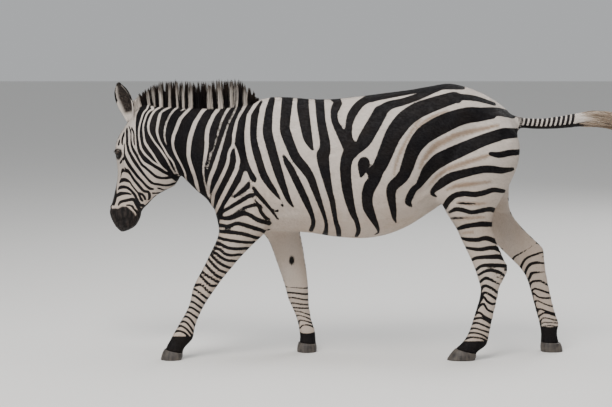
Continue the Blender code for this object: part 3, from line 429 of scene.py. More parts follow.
# %% Strokes
BLACK = (
    ((-647, 1289, 12.9), (-660, 1268, 15.6), (-668, 1246, 19), (-674, 1214, 19), (-678, 1150, 17.6),
     (-676, 1106, 17.6), (-664, 1054, 19), (-631, 950, 19), (-604, 898, 17.6), (-577, 859, 14.9),
     (-554, 815, 13.2), (-531, 783, 5.5)),  # rib_1
    ((-588, 1295, 15.6), (-600, 1247, 19.6), (-606, 1196, 22.3), (-608, 1151, 24.4), (-598, 1100, 24.4),
     (-554, 952, 22.3), (-521, 859, 16.3), (-501, 812, 11.6), (-481, 781, 4.8)),  # rib_2
    ((-510, 1307, 28.5), (-522, 1185, 25.4), (-517, 1140, 26.2), (-481, 1051, 23.9), (-458, 1012, 23.9),
     (-425, 973, 23.9), (-399, 934, 20.9), (-383, 895, 19.4), (-321, 711, 9.3), (-323, 621, 14.7)),  # rib_3
    ((-528, 1032, 7.1), (-511, 998, 14.7), (-488, 959, 17.8), (-422, 821, 17.8), (-389, 738, 11.6),
     (-382, 694, 10.8), (-393, 652, 11.6)),  # rib_3b
    ((-433, 1309, 28.5), (-432, 1249, 30.1), (-415, 1148, 25.4), (-406, 1110, 20.9), (-386, 1064, 7.1)),
    ((-352, 1309, 23.9), (-343, 1199, 22.3), (-326, 1104, 25.4), (-327, 1059, 29.3), (-336, 1033, 31.6),
     (-325, 962, 25.4), (-303, 863, 16.3), (-290, 816, 14.7), (-272, 712, 11.6), (-259, 667, 13.2),
     (-254, 623, 12.4)),  # rib_5
    ((-284, 1300, 11.6), (-258, 1287, 17.8), (-269, 1268, 20.9), (-279, 1238, 18.6), (-271, 1187, 17.8),
     (-208, 1080, 31.6), (-198, 1057, 36.3)),  # loin_1
    ((-44, 1320, 10.9), (-92, 1309, 14.2), (-139, 1289, 17.4), (-173, 1258, 20.9), (-197, 1220, 20.9),
     (-208, 1176, 17.8), (-211, 1124, 20.9), (-202, 1080, 30.1)),  # loin_2
    ((-198, 1060, 35.5), (-218, 1021, 30.1), (-225, 963, 27.8), (-215, 864, 25.4), (-191, 762, 17.8),
     (-170, 713, 12.4), (-158, 660, 11.6), (-167, 622, 9.3)),  # loin_stem
    ((364, 1359, 9.2), (274, 1365, 13.7), (241, 1360, 14.6), (131, 1316, 15.5), (57, 1292, 17.3),
     (-9, 1275, 21), (-54, 1243, 30)),  # croup_1
    ((-54, 1241, 33.8), (-124, 1125, 35.5), (-150, 1087, 27.8), (-182, 1060, 25.4)),  # croup_1b
    ((278, 1375, 5.3), (248, 1370, 10), (149, 1345, 8.3), (-51, 1312, 12.8), (-95, 1301, 12.8)),  # croup_0
    ((327, 1313, 24.5), (298, 1312, 28.2), (180, 1273, 35.5), (121, 1248, 39), (69, 1212, 41.8),
     (32, 1170, 42.7), (2, 1124, 40), (-42, 1020, 36.4), (-67, 973, 33.7), (-93, 955, 28.2)),  # croup_2
    ((-135, 1017, 15.7), (-136, 994, 30.5), (-149, 938, 9.2)),  # island
    ((-54, 950, 12.4), (-74, 930, 23.9), (-95, 905, 31.4), (-113, 869, 30.5), (-119, 824, 27.2),
     (-109, 769, 24.8), (-59, 658, 7.6), (-77, 629, 3.5)),  # flank_1
    ((504, 1227, 15.5), (474, 1231, 24.5), (421, 1233, 35.5), (367, 1230, 39), (308, 1214, 42.7),
     (250, 1188, 46.4), (199, 1161, 46.4), (155, 1131, 44.5), (119, 1087, 39), (97, 1044, 35.5),
     (68, 959, 31.8), (46, 923, 29.2), (-1, 870, 25.5), (13, 755, 15.5), (19, 719, 9.2), (28, 697, 3.8)),
    ((647, 1135, 17.3), (575, 1141, 26.4), (521, 1132, 28.2), (417, 1098, 30), (259, 1024, 37.3),
     (215, 995, 35.5), (179, 958, 31.8), (137, 891, 18.2), (112, 870, 17.3), (92, 833, 19.2),
     (85, 804, 16.3), (104, 778, 3.8)),  # haunch_4
    ((653, 1046, 13.7), (588, 1048, 15.5), (526, 1040, 15.5), (481, 1047, 9.2)),  # haunch_5
    ((600, 966, 9.2), (542, 963, 16.3), (482, 971, 19.2), (423, 967, 19.2), (310, 935, 22.8),
     (268, 911, 22.8), (240, 887, 21), (204, 849, 11.8), (226, 825, 5.3)),  # haunch_6
    ((448, 1246, 21), (537, 1242, 19), (617, 1217, 14)),  # rump_end_1
    ((305, 1319, 17), (412, 1310, 13), (519, 1278, 8)),  # rump_end_2
)
WHITE = (
    ((-1210, 1301, 4.7), (-1217, 1266, 4.7), (-1215, 1249, 4.2), (-1228, 1230, 4.2), (-1235, 1203, 4),
     (-1244, 1138, 4.2), (-1238, 1089, 4.2), (-1225, 1044, 5.2), (-1179, 995, 4.7), (-1122, 961, 4),
     (-1097, 938, 2.5)),  # neck_1
    ((-1182, 1301, 5.2), (-1198, 1264, 5.2), (-1184, 1248, 4.2), (-1199, 1238, 4.2), (-1211, 1218, 4.2),
     (-1217, 1193, 4.2), (-1221, 1159, 4.2), (-1214, 1104, 4.2), (-1198, 1064, 6.2), (-1102, 940, 3)),
    ((-1147, 1311, 9.2), (-1150, 1271, 8.7), (-1154, 1257, 6.2), (-1170, 1243, 4.7), (-1182, 1223, 5.2),
     (-1192, 1195, 5.7), (-1195, 1167, 5.2), (-1191, 1139, 4.7), (-1180, 1115, 4.2), (-1157, 1080, 4.2),
     (-1106, 1016, 4.2), (-1087, 981, 3.5), (-1069, 923, 2.5)),  # neck_3
    ((-1100, 1311, 7.7), (-1102, 1276, 7.7), (-1099, 1261, 6.2), (-1136, 1236, 5.2), (-1145, 1213, 6.7),
     (-1150, 1147, 5.7), (-1143, 1112, 5.2), (-1130, 1082, 4.2), (-1092, 1021, 4), (-1068, 989, 4.2),
     (-1060, 953, 4.2), (-1058, 914, 4.2)),  # neck_4
    ((-1058, 1311, 5.7), (-1059, 1281, 6.7), (-1054, 1267, 5.7), (-1084, 1231, 5.2), (-1107, 1182, 4.7),
     (-1112, 1126, 4.2), (-1101, 1073, 2.5)),  # neck_5
    ((-1027, 1311, 5.7), (-1029, 1276, 5.7), (-1021, 1259, 4.2), (-1030, 1247, 4.2), (-1039, 1242, 2.5)),
    ((-989, 1301, 8.7), (-989, 1271, 10.7), (-991, 1258, 7.2), (-1026, 1215, 7.7), (-1041, 1190, 9.2),
     (-1059, 1134, 8.7), (-1064, 1106, 8.2), (-1062, 1050, 6.7), (-1017, 959, 4.7), (-1006, 923, 5.2),
     (-1011, 889, 5.7)),  # neck_7
    ((-896, 1317, 12.2), (-896, 1282, 11.7), (-931, 1240, 8.7), (-949, 1207, 9.2), (-964, 1174, 10.2),
     (-979, 1108, 10.2), (-982, 1037, 9.2), (-977, 999, 8.2), (-955, 923, 8.7), (-942, 843, 7.2)),  # neck_8
    ((-842, 1317, 13.7), (-845, 1280, 11.7), (-857, 1248, 9.7), (-874, 1224, 8.2), (-888, 1191, 9.2),
     (-899, 1159, 9.7), (-903, 1126, 9.2), (-903, 1060, 8.2), (-915, 943, 3.5), (-902, 825, 2.5)),  # neck_9
    ((-789, 1317, 8.2), (-790, 1280, 8.2), (-833, 1200, 5.2), (-870, 1064, 3), (-883, 1035, 4),
     (-898, 960, 2.5)),  # neck_10
    ((-765, 1312, 4.2), (-765, 1277, 4.2), (-770, 1249, 4.2), (-798, 1192, 4.2), (-812, 1155, 4.2),
     (-867, 973, 8.7), (-888, 914, 7.2), (-898, 853, 5.2), (-898, 813, 3.5)),  # neck_11
    ((-720, 1307, 10.7), (-724, 1274, 9.7), (-731, 1253, 7.2), (-758, 1204, 6.2), (-774, 1139, 8.2),
     (-780, 1082, 6.2), (-799, 1040, 6.7), (-810, 977, 8.2), (-871, 848, 8.7), (-881, 810, 7.7),
     (-887, 766, 6.2)),  # neck_12
    ((-780, 1082, 5.2), (-769, 1066, 4.2), (-753, 1011, 9.2), (-757, 980, 9.2), (-767, 948, 9.7),
     (-839, 808, 9.2), (-873, 731, 5.2)),  # neck_12b
    ((-644, 1304, 8.2), (-665, 1280, 8.2), (-701, 1225, 8.7), (-707, 1193, 9.7), (-713, 1120, 9.7),
     (-705, 1048, 8.7), (-686, 984, 8.7), (-653, 925, 8.2), (-607, 861, 9.7), (-550, 799, 11.7)),  # withers
)
BLACK_OVER = (
    ((-698, 902, 7.7), (-711, 878, 14.4), (-772, 830, 7)),  # arm_1
    ((-696, 957, 9.7), (-683, 931, 15.1), (-671, 908, 8.3)),  # arm_1b
    ((-676, 840, 10.3), (-703, 833, 11.7), (-803, 772, 9), (-833, 750, 8.3), (-844, 727, 5.6)),  # arm_2
    ((-678, 878, 8.3), (-657, 846, 11), (-611, 791, 9), (-557, 715, 5.6)),  # arm_3
    ((-671, 819, 5), (-650, 793, 5.6), (-631, 778, 4.3)),  # arm_4
    ((-614, 798, 5), (-591, 769, 5.6), (-558, 754, 4.3), (-555, 763, 3.6)),  # arm_4b
    ((-763, 753, 5.6), (-723, 776, 8.3), (-657, 792, 9.7), (-641, 758, 9), (-618, 726, 8.3),
     (-598, 714, 5.6)),  # arm_5
    ((-1262, 1221, 7), (-1259, 1192, 8.3), (-1251, 1093, 5.7), (-1242, 1043, 7), (-1227, 1019, 9),
     (-1208, 994, 9.6), (-1173, 972, 9), (-1144, 958, 9.6), (-1116, 938, 9.6), (-1092, 919, 5.7)),  # face_1
    ((-1288, 1127, 3.1), (-1289, 1107, 4.4), (-1281, 1068, 5.7), (-1270, 1043, 7.7), (-1254, 1018, 7.7),
     (-1241, 993, 7), (-1225, 968, 7.7), (-1205, 953, 7.7), (-1166, 916, 7.7), (-1147, 907, 8.3),
     (-1122, 903, 6.4), (-1094, 906, 8.3), (-1073, 913, 5.7), (-1060, 920, 3.8)),  # face_2
    ((-1315, 1121, 6.4), (-1310, 1091, 7), (-1297, 1042, 7.7), (-1284, 1017, 8.3), (-1270, 992, 9.6),
     (-1237, 942, 9), (-1203, 897, 7), (-1189, 881, 8.3), (-1173, 872, 7), (-1153, 870, 7),
     (-1129, 865, 6.4), (-1107, 865, 6.4), (-1089, 871, 5), (-1080, 876, 3.8)),  # face_3
    ((-1323, 1071, 3.1), (-1319, 1042, 3.8), (-1318, 1016, 5), (-1313, 996, 8.3), (-1295, 966, 10.2),
     (-1264, 918, 9), (-1227, 872, 8.3), (-1213, 857, 8.3), (-1199, 846, 8.3), (-1184, 845, 5)),  # face_4
    ((-1321, 1009, 3.8), (-1328, 995, 7), (-1361, 967, 5)),  # face_5
    ((-1319, 952, 3.8), (-1327, 940, 11.6), (-1311, 936, 10.9), (-1299, 922, 8.3), (-1271, 877, 8.3),
     (-1242, 840, 8.3), (-1228, 831, 8.3), (-1213, 828, 7.7), (-1211, 814, 7), (-1216, 795, 5.7),
     (-1223, 785, 3.1)),  # face_6
    ((-1327, 939, 10.9), (-1341, 937, 9), (-1354, 921, 5), (-1360, 900, 4.4)),  # face_6b
    ((-1371, 871, 5.7), (-1360, 880, 9.6), (-1343, 887, 10.2), (-1324, 887, 10.2), (-1311, 880, 7),
     (-1303, 874, 5), (-1295, 860, 5), (-1266, 823, 5), (-1256, 793, 7), (-1250, 782, 6.4)),  # face_7
    ((-1258, 822, 5), (-1246, 815, 7), (-1238, 804, 7), (-1235, 789, 5.7)),  # face_7b
    ((-1378, 836, 5), (-1368, 845, 8.3), (-1351, 850, 9), (-1333, 850, 9), (-1317, 845, 7.7),
     (-1294, 825, 7.7), (-1283, 809, 7.7), (-1264, 761, 7), (-1253, 756, 9.6), (-1248, 748, 5.7)),  # face_8
    ((-1389, 799, 6.4), (-1378, 808, 9.6), (-1359, 816, 10.2), (-1335, 818, 7), (-1319, 817, 6.4),
     (-1303, 813, 3.8)),  # face_9
    ((-1375, 757, 5), (-1369, 767, 7), (-1357, 775, 7.7), (-1316, 785, 8.3), (-1297, 788, 9),
     (-1286, 776, 8.3), (-1272, 741, 9), (-1266, 731, 10.2), (-1238, 738, 7), (-1219, 758, 4.4)),  # face_10
    ((-1330, 757, 3.8), (-1314, 757, 5), (-1301, 752, 5.7), (-1295, 738, 5.7), (-1286, 727, 6.4),
     (-1279, 711, 5.7)),  # face_11
    ((-1337, 1139, 7), (-1335, 1115, 7.7), (-1338, 1100, 6.4), (-1338, 1090, 6.4), (-1336, 1076, 5),
     (-1333, 1066, 3.1)),  # brow_1
    ((-1356, 1128, 4.4), (-1359, 1094, 6.4), (-1355, 1080, 6.4), (-1353, 1066, 4.4)),  # brow_2
    ((-1360, 1105, 5), (-1368, 1085, 5.7), (-1372, 1065, 5)),  # brow_3
    ((-1323, 1164, 3.8), (-1319, 1145, 7.7), (-1313, 1126, 7)),  # poll_1
    ((-1309, 1163, 3.1), (-1294, 1142, 4.4), (-1288, 1122, 3.8)),  # poll_2
    ((-1287, 1152, 4.4), (-1276, 1137, 5), (-1270, 1118, 4.4), (-1269, 1093, 4.4), (-1264, 1068, 3.1)),
    ((-1194, 821, 4.4), (-1156, 822, 5), (-1131, 832, 3.8), (-1117, 840, 3.1)),  # jaw_1
    ((-1161, 848, 4.4), (-1150, 847, 5), (-1141, 838, 4.4), (-1131, 833, 3.1)),  # jaw_2
    ((-1201, 794, 3.8), (-1186, 805, 3.8)),  # jaw_3
)
SHADOW = (
    ((524, 1181, 6), (382, 1153, 11.2), (309, 1134, 11.9), (258, 1108, 13.4), (214, 1083, 14.9),
     (178, 1047, 11.9), (152, 1010, 8.9), (136, 974, 6)),  # shadow_1
    ((474, 1041, 6.7), (423, 1026, 8.9), (310, 984, 10.4), (260, 957, 9.7), (217, 923, 6.7),
     (188, 889, 3.7)),  # shadow_2
    ((484, 912, 3.7), (367, 895, 10.4), (310, 885, 8.2), (275, 865, 4.5)),  # shadow_3
    ((142, 1220, 3.7), (105, 1170, 6), (38, 1048, 6.7), (17, 990, 5.2), (9, 947, 3)),  # shadow_4
    ((273, 1253, 4.5), (215, 1231, 6.7), (163, 1202, 6.7), (119, 1163, 6)),  # shadow_5
    ((458, 799, 3), (384, 801, 7.4), (326, 804, 4.5)),  # shadow_8
    ((460, 731, 2.2), (386, 729, 6), (314, 723, 3.7)),  # shadow_10
    ((360, 650, 3.7), (403, 658, 3.7)),  # shadow_12
)
FORE_BANDS = (
    ((-841, 719, 6.3), (-796, 729, 9.7), (-763, 743, 10.3), (-723, 749, 11), (-697, 743, 10.3),
     (-664, 719, 9.7), (-631, 703, 8.3), (-592, 695, 6.3)),  # arm_6
    ((-839, 684, 6.3), (-804, 684, 9), (-770, 695, 8.3), (-737, 696, 9.7), (-658, 667, 7.7),
     (-600, 651, 5)),  # arm_7
    ((-851, 653, 8.3), (-804, 657, 9.7), (-757, 651, 10.3), (-711, 644, 9), (-665, 627, 5.6)),  # arm_8
    ((-847, 726, 10.3), (-792, 724, 10.3), (-728, 748, 10.3), (-694, 742, 10.3), (-661, 721, 10.3),
     (-599, 692, 10.3)),  # fa_1
    ((-854, 682, 9.8), (-835, 686, 9.8), (-797, 683, 9.8), (-763, 699, 9.8), (-729, 696, 9.8),
     (-649, 668, 9.8), (-613, 644, 9.8)),  # fa_2
    ((-863, 645, 9.3), (-849, 654, 9.3), (-763, 651, 9.3), (-718, 643, 9.3), (-650, 620, 9.3)),  # fa_3
    ((-869, 630, 8.3), (-862, 623, 8.3), (-699, 600, 8.3), (-675, 600, 8.3)),  # fa_4
    ((-879, 605, 8.8), (-871, 596, 8.8), (-839, 591, 8.8), (-804, 575, 8.8), (-765, 569, 8.8),
     (-708, 568, 8.8), (-698, 554, 8.8)),  # fa_5
    ((-889, 582, 7.8), (-879, 573, 7.8), (-844, 565, 7.8), (-816, 543, 7.8), (-788, 536, 7.8),
     (-748, 537, 7.8), (-724, 529, 7.8)),  # fa_6
    ((-899, 565, 7.8), (-888, 553, 7.8), (-862, 544, 7.8), (-833, 522, 7.8), (-805, 509, 7.8),
     (-777, 505, 7.8), (-749, 494, 7.8)),  # fa_7
    ((-907, 542, 7.8), (-893, 539, 7.8), (-840, 492, 7.8), (-774, 458, 7.8)),  # fa_8
    ((-919, 519, 7.3), (-905, 516, 7.3), (-851, 462, 7.3), (-823, 448, 7.3), (-804, 433, 7.3),
     (-789, 433, 7.3)),  # fa_9
    ((-934, 494, 7.8), (-919, 486, 7.8), (-863, 433, 7.8), (-831, 413, 7.8), (-819, 397, 7.8)),  # fa_10
    ((-950, 468, 7.3), (-938, 451, 7.3), (-851, 394, 7.3), (-835, 377, 7.3)),  # fa_11
    ((-970, 424, 7.3), (-948, 432, 7.3), (-893, 382, 7.3), (-865, 377, 7.3), (-850, 362, 7.3)),  # fa_12
    ((-991, 403, 6.8), (-976, 380, 6.8), (-939, 385, 6.8), (-910, 356, 6.8), (-878, 333, 6.8),
     (-860, 337, 6.8)),  # fa_13
    ((-1006, 357, 6.3), (-965, 358, 6.3), (-895, 301, 6.3)),  # fa_14
    ((-1012, 321, 6.3), (-970, 328, 6.3), (-911, 276, 6.3)),  # fa_15
    ((-1017, 285, 5.8), (-980, 296, 5.8), (-926, 253, 5.8)),  # fa_16
    ((-1027, 255, 5.8), (-991, 268, 5.8), (-961, 250, 5.8), (-941, 230, 5.8)),  # fa_17
    ((-1038, 229, 5.8), (-1001, 242, 5.8), (-951, 204, 5.8)),  # fa_18
    ((-1048, 206, 5.3), (-1016, 221, 5.3), (-991, 204, 5.3), (-967, 162, 5.3)),  # fa_19
    ((-1063, 183, 5.3), (-1027, 196, 5.3), (-1002, 178, 5.3), (-977, 136, 5.3)),  # fa_20
    ((-1074, 159, 5.3), (-1042, 173, 5.3), (-1012, 156, 5.3), (-982, 116, 5.3)),  # fa_21
    ((-1089, 134, 5.3), (-1052, 148, 5.3), (-1017, 134, 5.3), (-983, 90, 5.3)),  # fa_22
)
HIND_BANDS = (
    ((557, 855, 10.5), (501, 866, 12.7), (456, 853, 14.2), (405, 845, 14.2), (354, 849, 14.2),
     (311, 837, 14.2), (283, 810, 14.2), (265, 771, 12)),  # haunch_7
    ((312, 804, 3), (355, 800, 6), (413, 799, 3.8)),  # thigh_8
    ((548, 736, 10.5), (490, 767, 12.7), (400, 755, 11.2), (356, 766, 11.2), (319, 770, 11.2),
     (289, 751, 6.8)),  # thigh_9
    ((400, 729, 2.3), (321, 724, 6.8), (297, 718, 5.3)),  # thigh_10
    ((503, 689, 12), (454, 694, 14.2), (409, 691, 12.7), (365, 683, 12.7), (335, 668, 9)),  # thigh_11
    ((548, 589, 11.2), (478, 621, 12.7), (433, 615, 11.2), (389, 615, 11.2), (353, 619, 7.5)),  # thigh_13
    ((573, 537, 8.9), (514, 571, 11.2), (444, 565, 10), (377, 570, 7.2), (377, 557, 3.7)),  # shank_14
    ((582, 503, 8.3), (544, 524, 12.3), (502, 526, 11.2), (461, 526, 10), (422, 520, 8.9), (403, 504, 6)),
    ((597, 471, 7.7), (550, 481, 10), (479, 486, 8.9), (445, 477, 7.7), (426, 455, 6)),  # shank_16
    ((586, 414, 3.7), (550, 443, 7.7), (520, 456, 8.9), (491, 460, 8.9), (463, 451, 7.7), (436, 430, 5.4)),
    ((571, 458, 5.4), (582, 458, 5.4)),  # hock_dot
    ((565, 410, 3.7), (515, 433, 3.7)),  # hock_18
    ((547, 385, 4.3), (486, 418, 8.3), (464, 415, 7.7), (445, 391, 5.4)),  # hock_19
    ((555, 326, 5.4), (517, 359, 7.7), (487, 377, 7.7), (470, 380, 7.7), (457, 366, 6.6), (450, 331, 4.8)),
    ((438, 281, 6.8), (463, 337, 6.8), (487, 341, 6.8), (548, 298, 6.8), (568, 291, 6.8)),  # ha_1
    ((428, 250, 6.3), (454, 306, 6.3), (468, 322, 6.3), (483, 302, 6.3), (509, 286, 6.3), (530, 286, 6.3),
     (558, 276, 6.3)),  # ha_2
    ((428, 230, 5.8), (436, 259, 5.8), (454, 281, 5.8), (469, 287, 5.8), (484, 261, 5.8), (510, 245, 5.8),
     (549, 230, 5.8)),  # ha_3
    ((413, 220, 6.3), (427, 237, 6.3), (450, 241, 6.3), (475, 221, 6.3), (544, 184, 6.3)),  # ha_4
    ((408, 194, 5.8), (421, 208, 5.8), (465, 213, 5.8), (545, 158, 5.8)),  # ha_5
    ((398, 163, 5.3), (412, 182, 5.3), (440, 190, 5.3), (502, 162, 5.3), (540, 133, 5.3)),  # ha_6
    ((389, 143, 4.8), (403, 156, 4.8), (430, 163, 4.8), (497, 140, 4.8), (535, 112, 4.8)),  # ha_7
    ((379, 123, 4.8), (401, 138, 4.8), (430, 141, 4.8), (465, 130, 4.8), (505, 102, 4.8), (530, 92, 4.8)),
    ((369, 100, 4.8), (401, 117, 4.8), (430, 118, 4.8), (466, 110, 4.8), (505, 82, 4.8), (530, 72, 4.8)),
)

NECK_GROUND = (
    (-1267, 1342), (-1267, 1231), (-1254, 1133), (-1250, 1093), (-1243, 1043), (-1229, 1014), (-1210, 991),
    (-1176, 970), (-1144, 953), (-1089, 911), (-1040, 811), (-921, 736), (-848, 690), (-837, 748),
    (-824, 774), (-806, 805), (-782, 840), (-760, 875), (-738, 910), (-727, 943), (-720, 962), (-707, 952),
    (-692, 923),
    (-680, 904), (-668, 899), (-658, 920), (-671, 955), (-686, 984), (-696, 1016), (-705, 1048), (-711, 1084),
    (-713, 1120), (-711, 1156), (-707, 1193), (-701, 1225), (-685, 1250), (-665, 1280), (-654, 1347),
)
MUZZLE = (
    (-1440, 735), (-1400, 740), (-1377, 739), (-1366, 745), (-1355, 751), (-1328, 751), (-1308, 733),
    (-1293, 715), (-1284, 696), (-1260, 669), (-1229, 664), (-1230, 580), (-1480, 580), (-1480, 745),
)
EYE_PATCH = (
    (-1390, 1038), (-1362, 1048), (-1337, 1046), (-1330, 1026), (-1340, 1003), (-1363, 988), (-1386, 1001),
)
BROW = (
    (-1400, 1058), (-1355, 1062), (-1330, 1064), (-1324, 1051), (-1337, 1048), (-1362, 1050), (-1400, 1042),
)
# Lines down the front of the face: distance from the middle, height and half width in millimetres.
FACE_FRONT = (
    ((0, 1230, 3), (0, 1150, 4), (0, 1060, 3), (0, 980, 2.5)),
    ((13, 1225, 3), (15, 1150, 4), (14, 1060, 3.5), (8, 985, 2.5), (4, 930, 2)),
    ((26, 1200, 3), (30, 1140, 3.5), (28, 1060, 3.5), (19, 980, 3), (11, 910, 3), (7, 850, 3), (10, 790, 4)),
    ((42, 1150, 2.5), (45, 1100, 3), (42, 1060, 3), (35, 1000, 3), (26, 940, 3), (20, 880, 3), (18, 830, 2)),
)

# %% [markdown]
# The flesh. The lofts are fused on a grid of 11 mm, eased, and shaped by swellings, which is how the solids
# were made too, so the skin keeps their outline. Where markings are fine (head, throat, lower legs, tail) the
# grid is halved, and it is halved again round the eye, the nostril and the lips.

# %% Skin
animal = bpy.context.scene.collection


def positions(mesh):
    """The mesh's points as an array."""
    co = np.empty(len(mesh.vertices) * 3)
    mesh.vertices.foreach_get("co", co)
    return co.reshape(-1, 3)


def put_points(mesh, co):
    """Moves the mesh's points to co."""
    mesh.vertices.foreach_set("co", co.ravel())
    mesh.update()


def reshape(mesh, change):
    """Passes the mesh's points through change and puts them back."""
    put_points(mesh, change(positions(mesh)))


def rounded(mesh):
    """Shades the mesh smooth."""
    mesh.polygons.foreach_set("use_smooth", np.ones(len(mesh.polygons), dtype=bool))
    mesh.update()


def normals(mesh):
    """The mesh's point normals as an array."""
    out = np.empty(len(mesh.vertices) * 3)
    mesh.vertices.foreach_get("normal", out)
    return out.reshape(-1, 3)


def edge_pairs(mesh):
    """Both points of every edge."""
    out = np.empty(len(mesh.edges) * 2, dtype=np.int32)
    mesh.edges.foreach_get("vertices", out)
    return out.reshape(-1, 2)


def finer(mesh, chosen):
    """Halves the grid where chosen says so for the faces' middles, and eases it there."""
    bm = bmesh.new()
    bm.from_mesh(mesh)
    middles = np.array([f.calc_center_median()[:] for f in bm.faces])
    pick = chosen(middles)
    edges = {e for f, p in zip(bm.faces, pick) if p for e in f.edges}
    bmesh.ops.subdivide_edges(bm, edges=list(edges), cuts=1, use_grid_fill=True)
    bm.to_mesh(mesh)
    bm.free()
    co = positions(mesh)
    near = chosen(co).astype(float)
    co = eased(co, edge_pairs(mesh), 2, near)
    put_points(mesh, co)


def fine_zone(co):
    """The head, the throat, the lower legs and the tail."""
    ahead = co[:, 0] + 0.25 * (co[:, 2] - 1.28) < -1.05
    return (ahead & (co[:, 2] > 0.70)) | (co[:, 2] < 0.34) | ((co[:, 0] > 0.65) & (co[:, 2] > 0.95))


def face_zone(co):
    """Round the eyes, nostrils and lips."""
    side = np.abs(co[:, 1])
    eye = np.linalg.norm(np.column_stack((co[:, 0], side, co[:, 2])) - np.array(EYE), axis=1) < 0.048
    lips = (co[:, 0] < -1.25) & (co[:, 2] < 0.765)
    return eye | lips


bm = bmesh.new()
for ribs, side in ((TRUNK, 0), (NECK, 0), (HEAD, 0), (TAIL, 0)):
    loft(bm, ribs, side)
for ribs, side in ((FORE_LEFT, -1), (FORE_RIGHT, 1), (HIND_LEFT, -1), (HIND_RIGHT, 1)):
    loft(bm, lengthened(ribs, 0.030), side)
skin = made("skin", bm, animal)
fuse = skin.modifiers.new("fuse", "REMESH")
fuse.mode = "VOXEL"
fuse.voxel_size = VOXEL
settled(skin)
mesh = skin.data
edges = edge_pairs(mesh)
co = eased(positions(mesh), edges, 6)
for place, reach, rounds in JUNCTIONS:
    co = eased(co, edges, rounds, falloff(co, place, reach), hold=False)
for place, reach, offset in SWELLINGS:
    push = falloff(co, place, reach)[:, None] * np.array(offset)
    push[:, 1] *= np.sign(co[:, 1])
    co = co + push
put_points(mesh, co)
finer(mesh, fine_zone)
finer(mesh, face_zone)
co = positions(mesh) - normals(mesh) * COAT_DEPTH
print("skin", len(mesh.vertices), "points", len(mesh.polygons), "faces")

# %% [markdown]
# Folds and hollows that the solids are too coarse for: the nostril, the line of the mouth, the crest under
# the eye, the groove of the throat and the tendons of the legs. Each is a line of pushes along the normal,
# the same on both sides.

# %% Folds
# Each: points along the line, reach, and how far out (in where negative).
FOLDS = (
    (((-1.424, 0.036, 0.735), (-1.428, 0.042, 0.722), (-1.421, 0.048, 0.708)), 0.010, -0.013),
    (((-1.424, 0.026, 0.746), (-1.412, 0.046, 0.744), (-1.402, 0.055, 0.728), (-1.404, 0.054, 0.706)),
     0.012, 0.004),
    (((-1.415, 0.000, 0.662), (-1.398, 0.035, 0.664), (-1.370, 0.048, 0.674), (-1.335, 0.053, 0.690),
      (-1.300, 0.053, 0.702)), 0.007, -0.006),
    (((-1.395, 0.030, 0.648), (-1.350, 0.046, 0.660), (-1.315, 0.050, 0.678)), 0.012, 0.004),
    (((-1.330, 0.094, 0.998), (-1.322, 0.090, 0.960), (-1.318, 0.082, 0.915)), 0.016, 0.0045),
    (((-1.300, 0.080, 0.940), (-1.300, 0.070, 0.880), (-1.318, 0.060, 0.810)), 0.026, -0.004),
    (((-1.195, 0.085, 1.010), (-1.170, 0.090, 0.940), (-1.180, 0.080, 0.880)), 0.020, -0.003),
    (((-1.075, 0.080, 1.060), (-1.000, 0.085, 0.930), (-0.910, 0.105, 0.840), (-0.850, 0.120, 0.790)),
     0.040, -0.008),
    (((-1.200, 0.060, 1.200), (-1.050, 0.080, 1.170), (-0.850, 0.120, 1.130)), 0.055, -0.005),
    (((-0.700, 0.150, 1.235), (-0.760, 0.170, 1.110), (-0.840, 0.165, 0.960)), 0.045, 0.007),
    (((-0.600, 0.200, 1.130), (-0.560, 0.220, 0.980), (-0.560, 0.220, 0.850)), 0.050, -0.007),
    (((-0.840, 0.170, 0.840), (-0.780, 0.190, 0.760), (-0.740, 0.190, 0.690)), 0.034, -0.006),
    (((-0.560, 0.180, 0.740), (-0.530, 0.190, 0.690), (-0.480, 0.170, 0.650)), 0.014, -0.005),
    (((-0.530, 0.190, 0.760), (-0.490, 0.200, 0.700), (-0.440, 0.190, 0.650)), 0.014, -0.005),
    (((-0.500, 0.210, 0.780), (-0.450, 0.210, 0.710), (-0.400, 0.200, 0.650)), 0.014, -0.004),
    (((0.180, 0.200, 0.840), (0.140, 0.210, 0.790), (0.080, 0.200, 0.730)), 0.024, 0.005),
    (((0.260, 0.220, 1.200), (0.220, 0.240, 1.060), (0.200, 0.230, 0.930)), 0.050, -0.007),
    (((0.560, 0.190, 1.140), (0.530, 0.210, 1.000), (0.480, 0.200, 0.860)), 0.040, -0.006),
    (((-0.790, 0.175, 0.560), (-0.850, 0.165, 0.480)), 0.022, -0.004),
    (((-0.985, 0.148, 0.300), (-1.030, 0.140, 0.190)), 0.009, -0.003),
    (((-0.440, 0.148, 0.280), (-0.425, 0.140, 0.180)), 0.009, -0.003),
    (((0.505, 0.165, 0.400), (0.490, 0.155, 0.280), (0.470, 0.150, 0.190)), 0.009, -0.003),
    (((0.775, 0.165, 0.400), (0.795, 0.155, 0.280), (0.815, 0.150, 0.200)), 0.009, -0.003),
    (((0.420, 0.190, 0.660), (0.470, 0.180, 0.580), (0.530, 0.160, 0.530)), 0.020, -0.004),
)


def line_gap(co, line):
    """Distance of each point from a line of points, both sides alike."""
    q = np.column_stack((co[:, 0], np.abs(co[:, 1]), co[:, 2]))
    best = np.full(len(q), 9.0)
    for a, b in zip(np.array(line)[:-1], np.array(line)[1:]):
        step = b - a
        t = np.clip((q - a) @ step / (step @ step), 0, 1)
        best = np.minimum(best, np.linalg.norm(q - a - t[:, None] * step, axis=1))
    return best


put_points(mesh, co)
out = normals(mesh)
for line, reach, depth in FOLDS:
    near = np.clip(1 - (line_gap(co, line) / reach) ** 2, 0, 1) ** 2
    co = co + out * (near * depth)[:, None]
print(len(FOLDS), "folds")

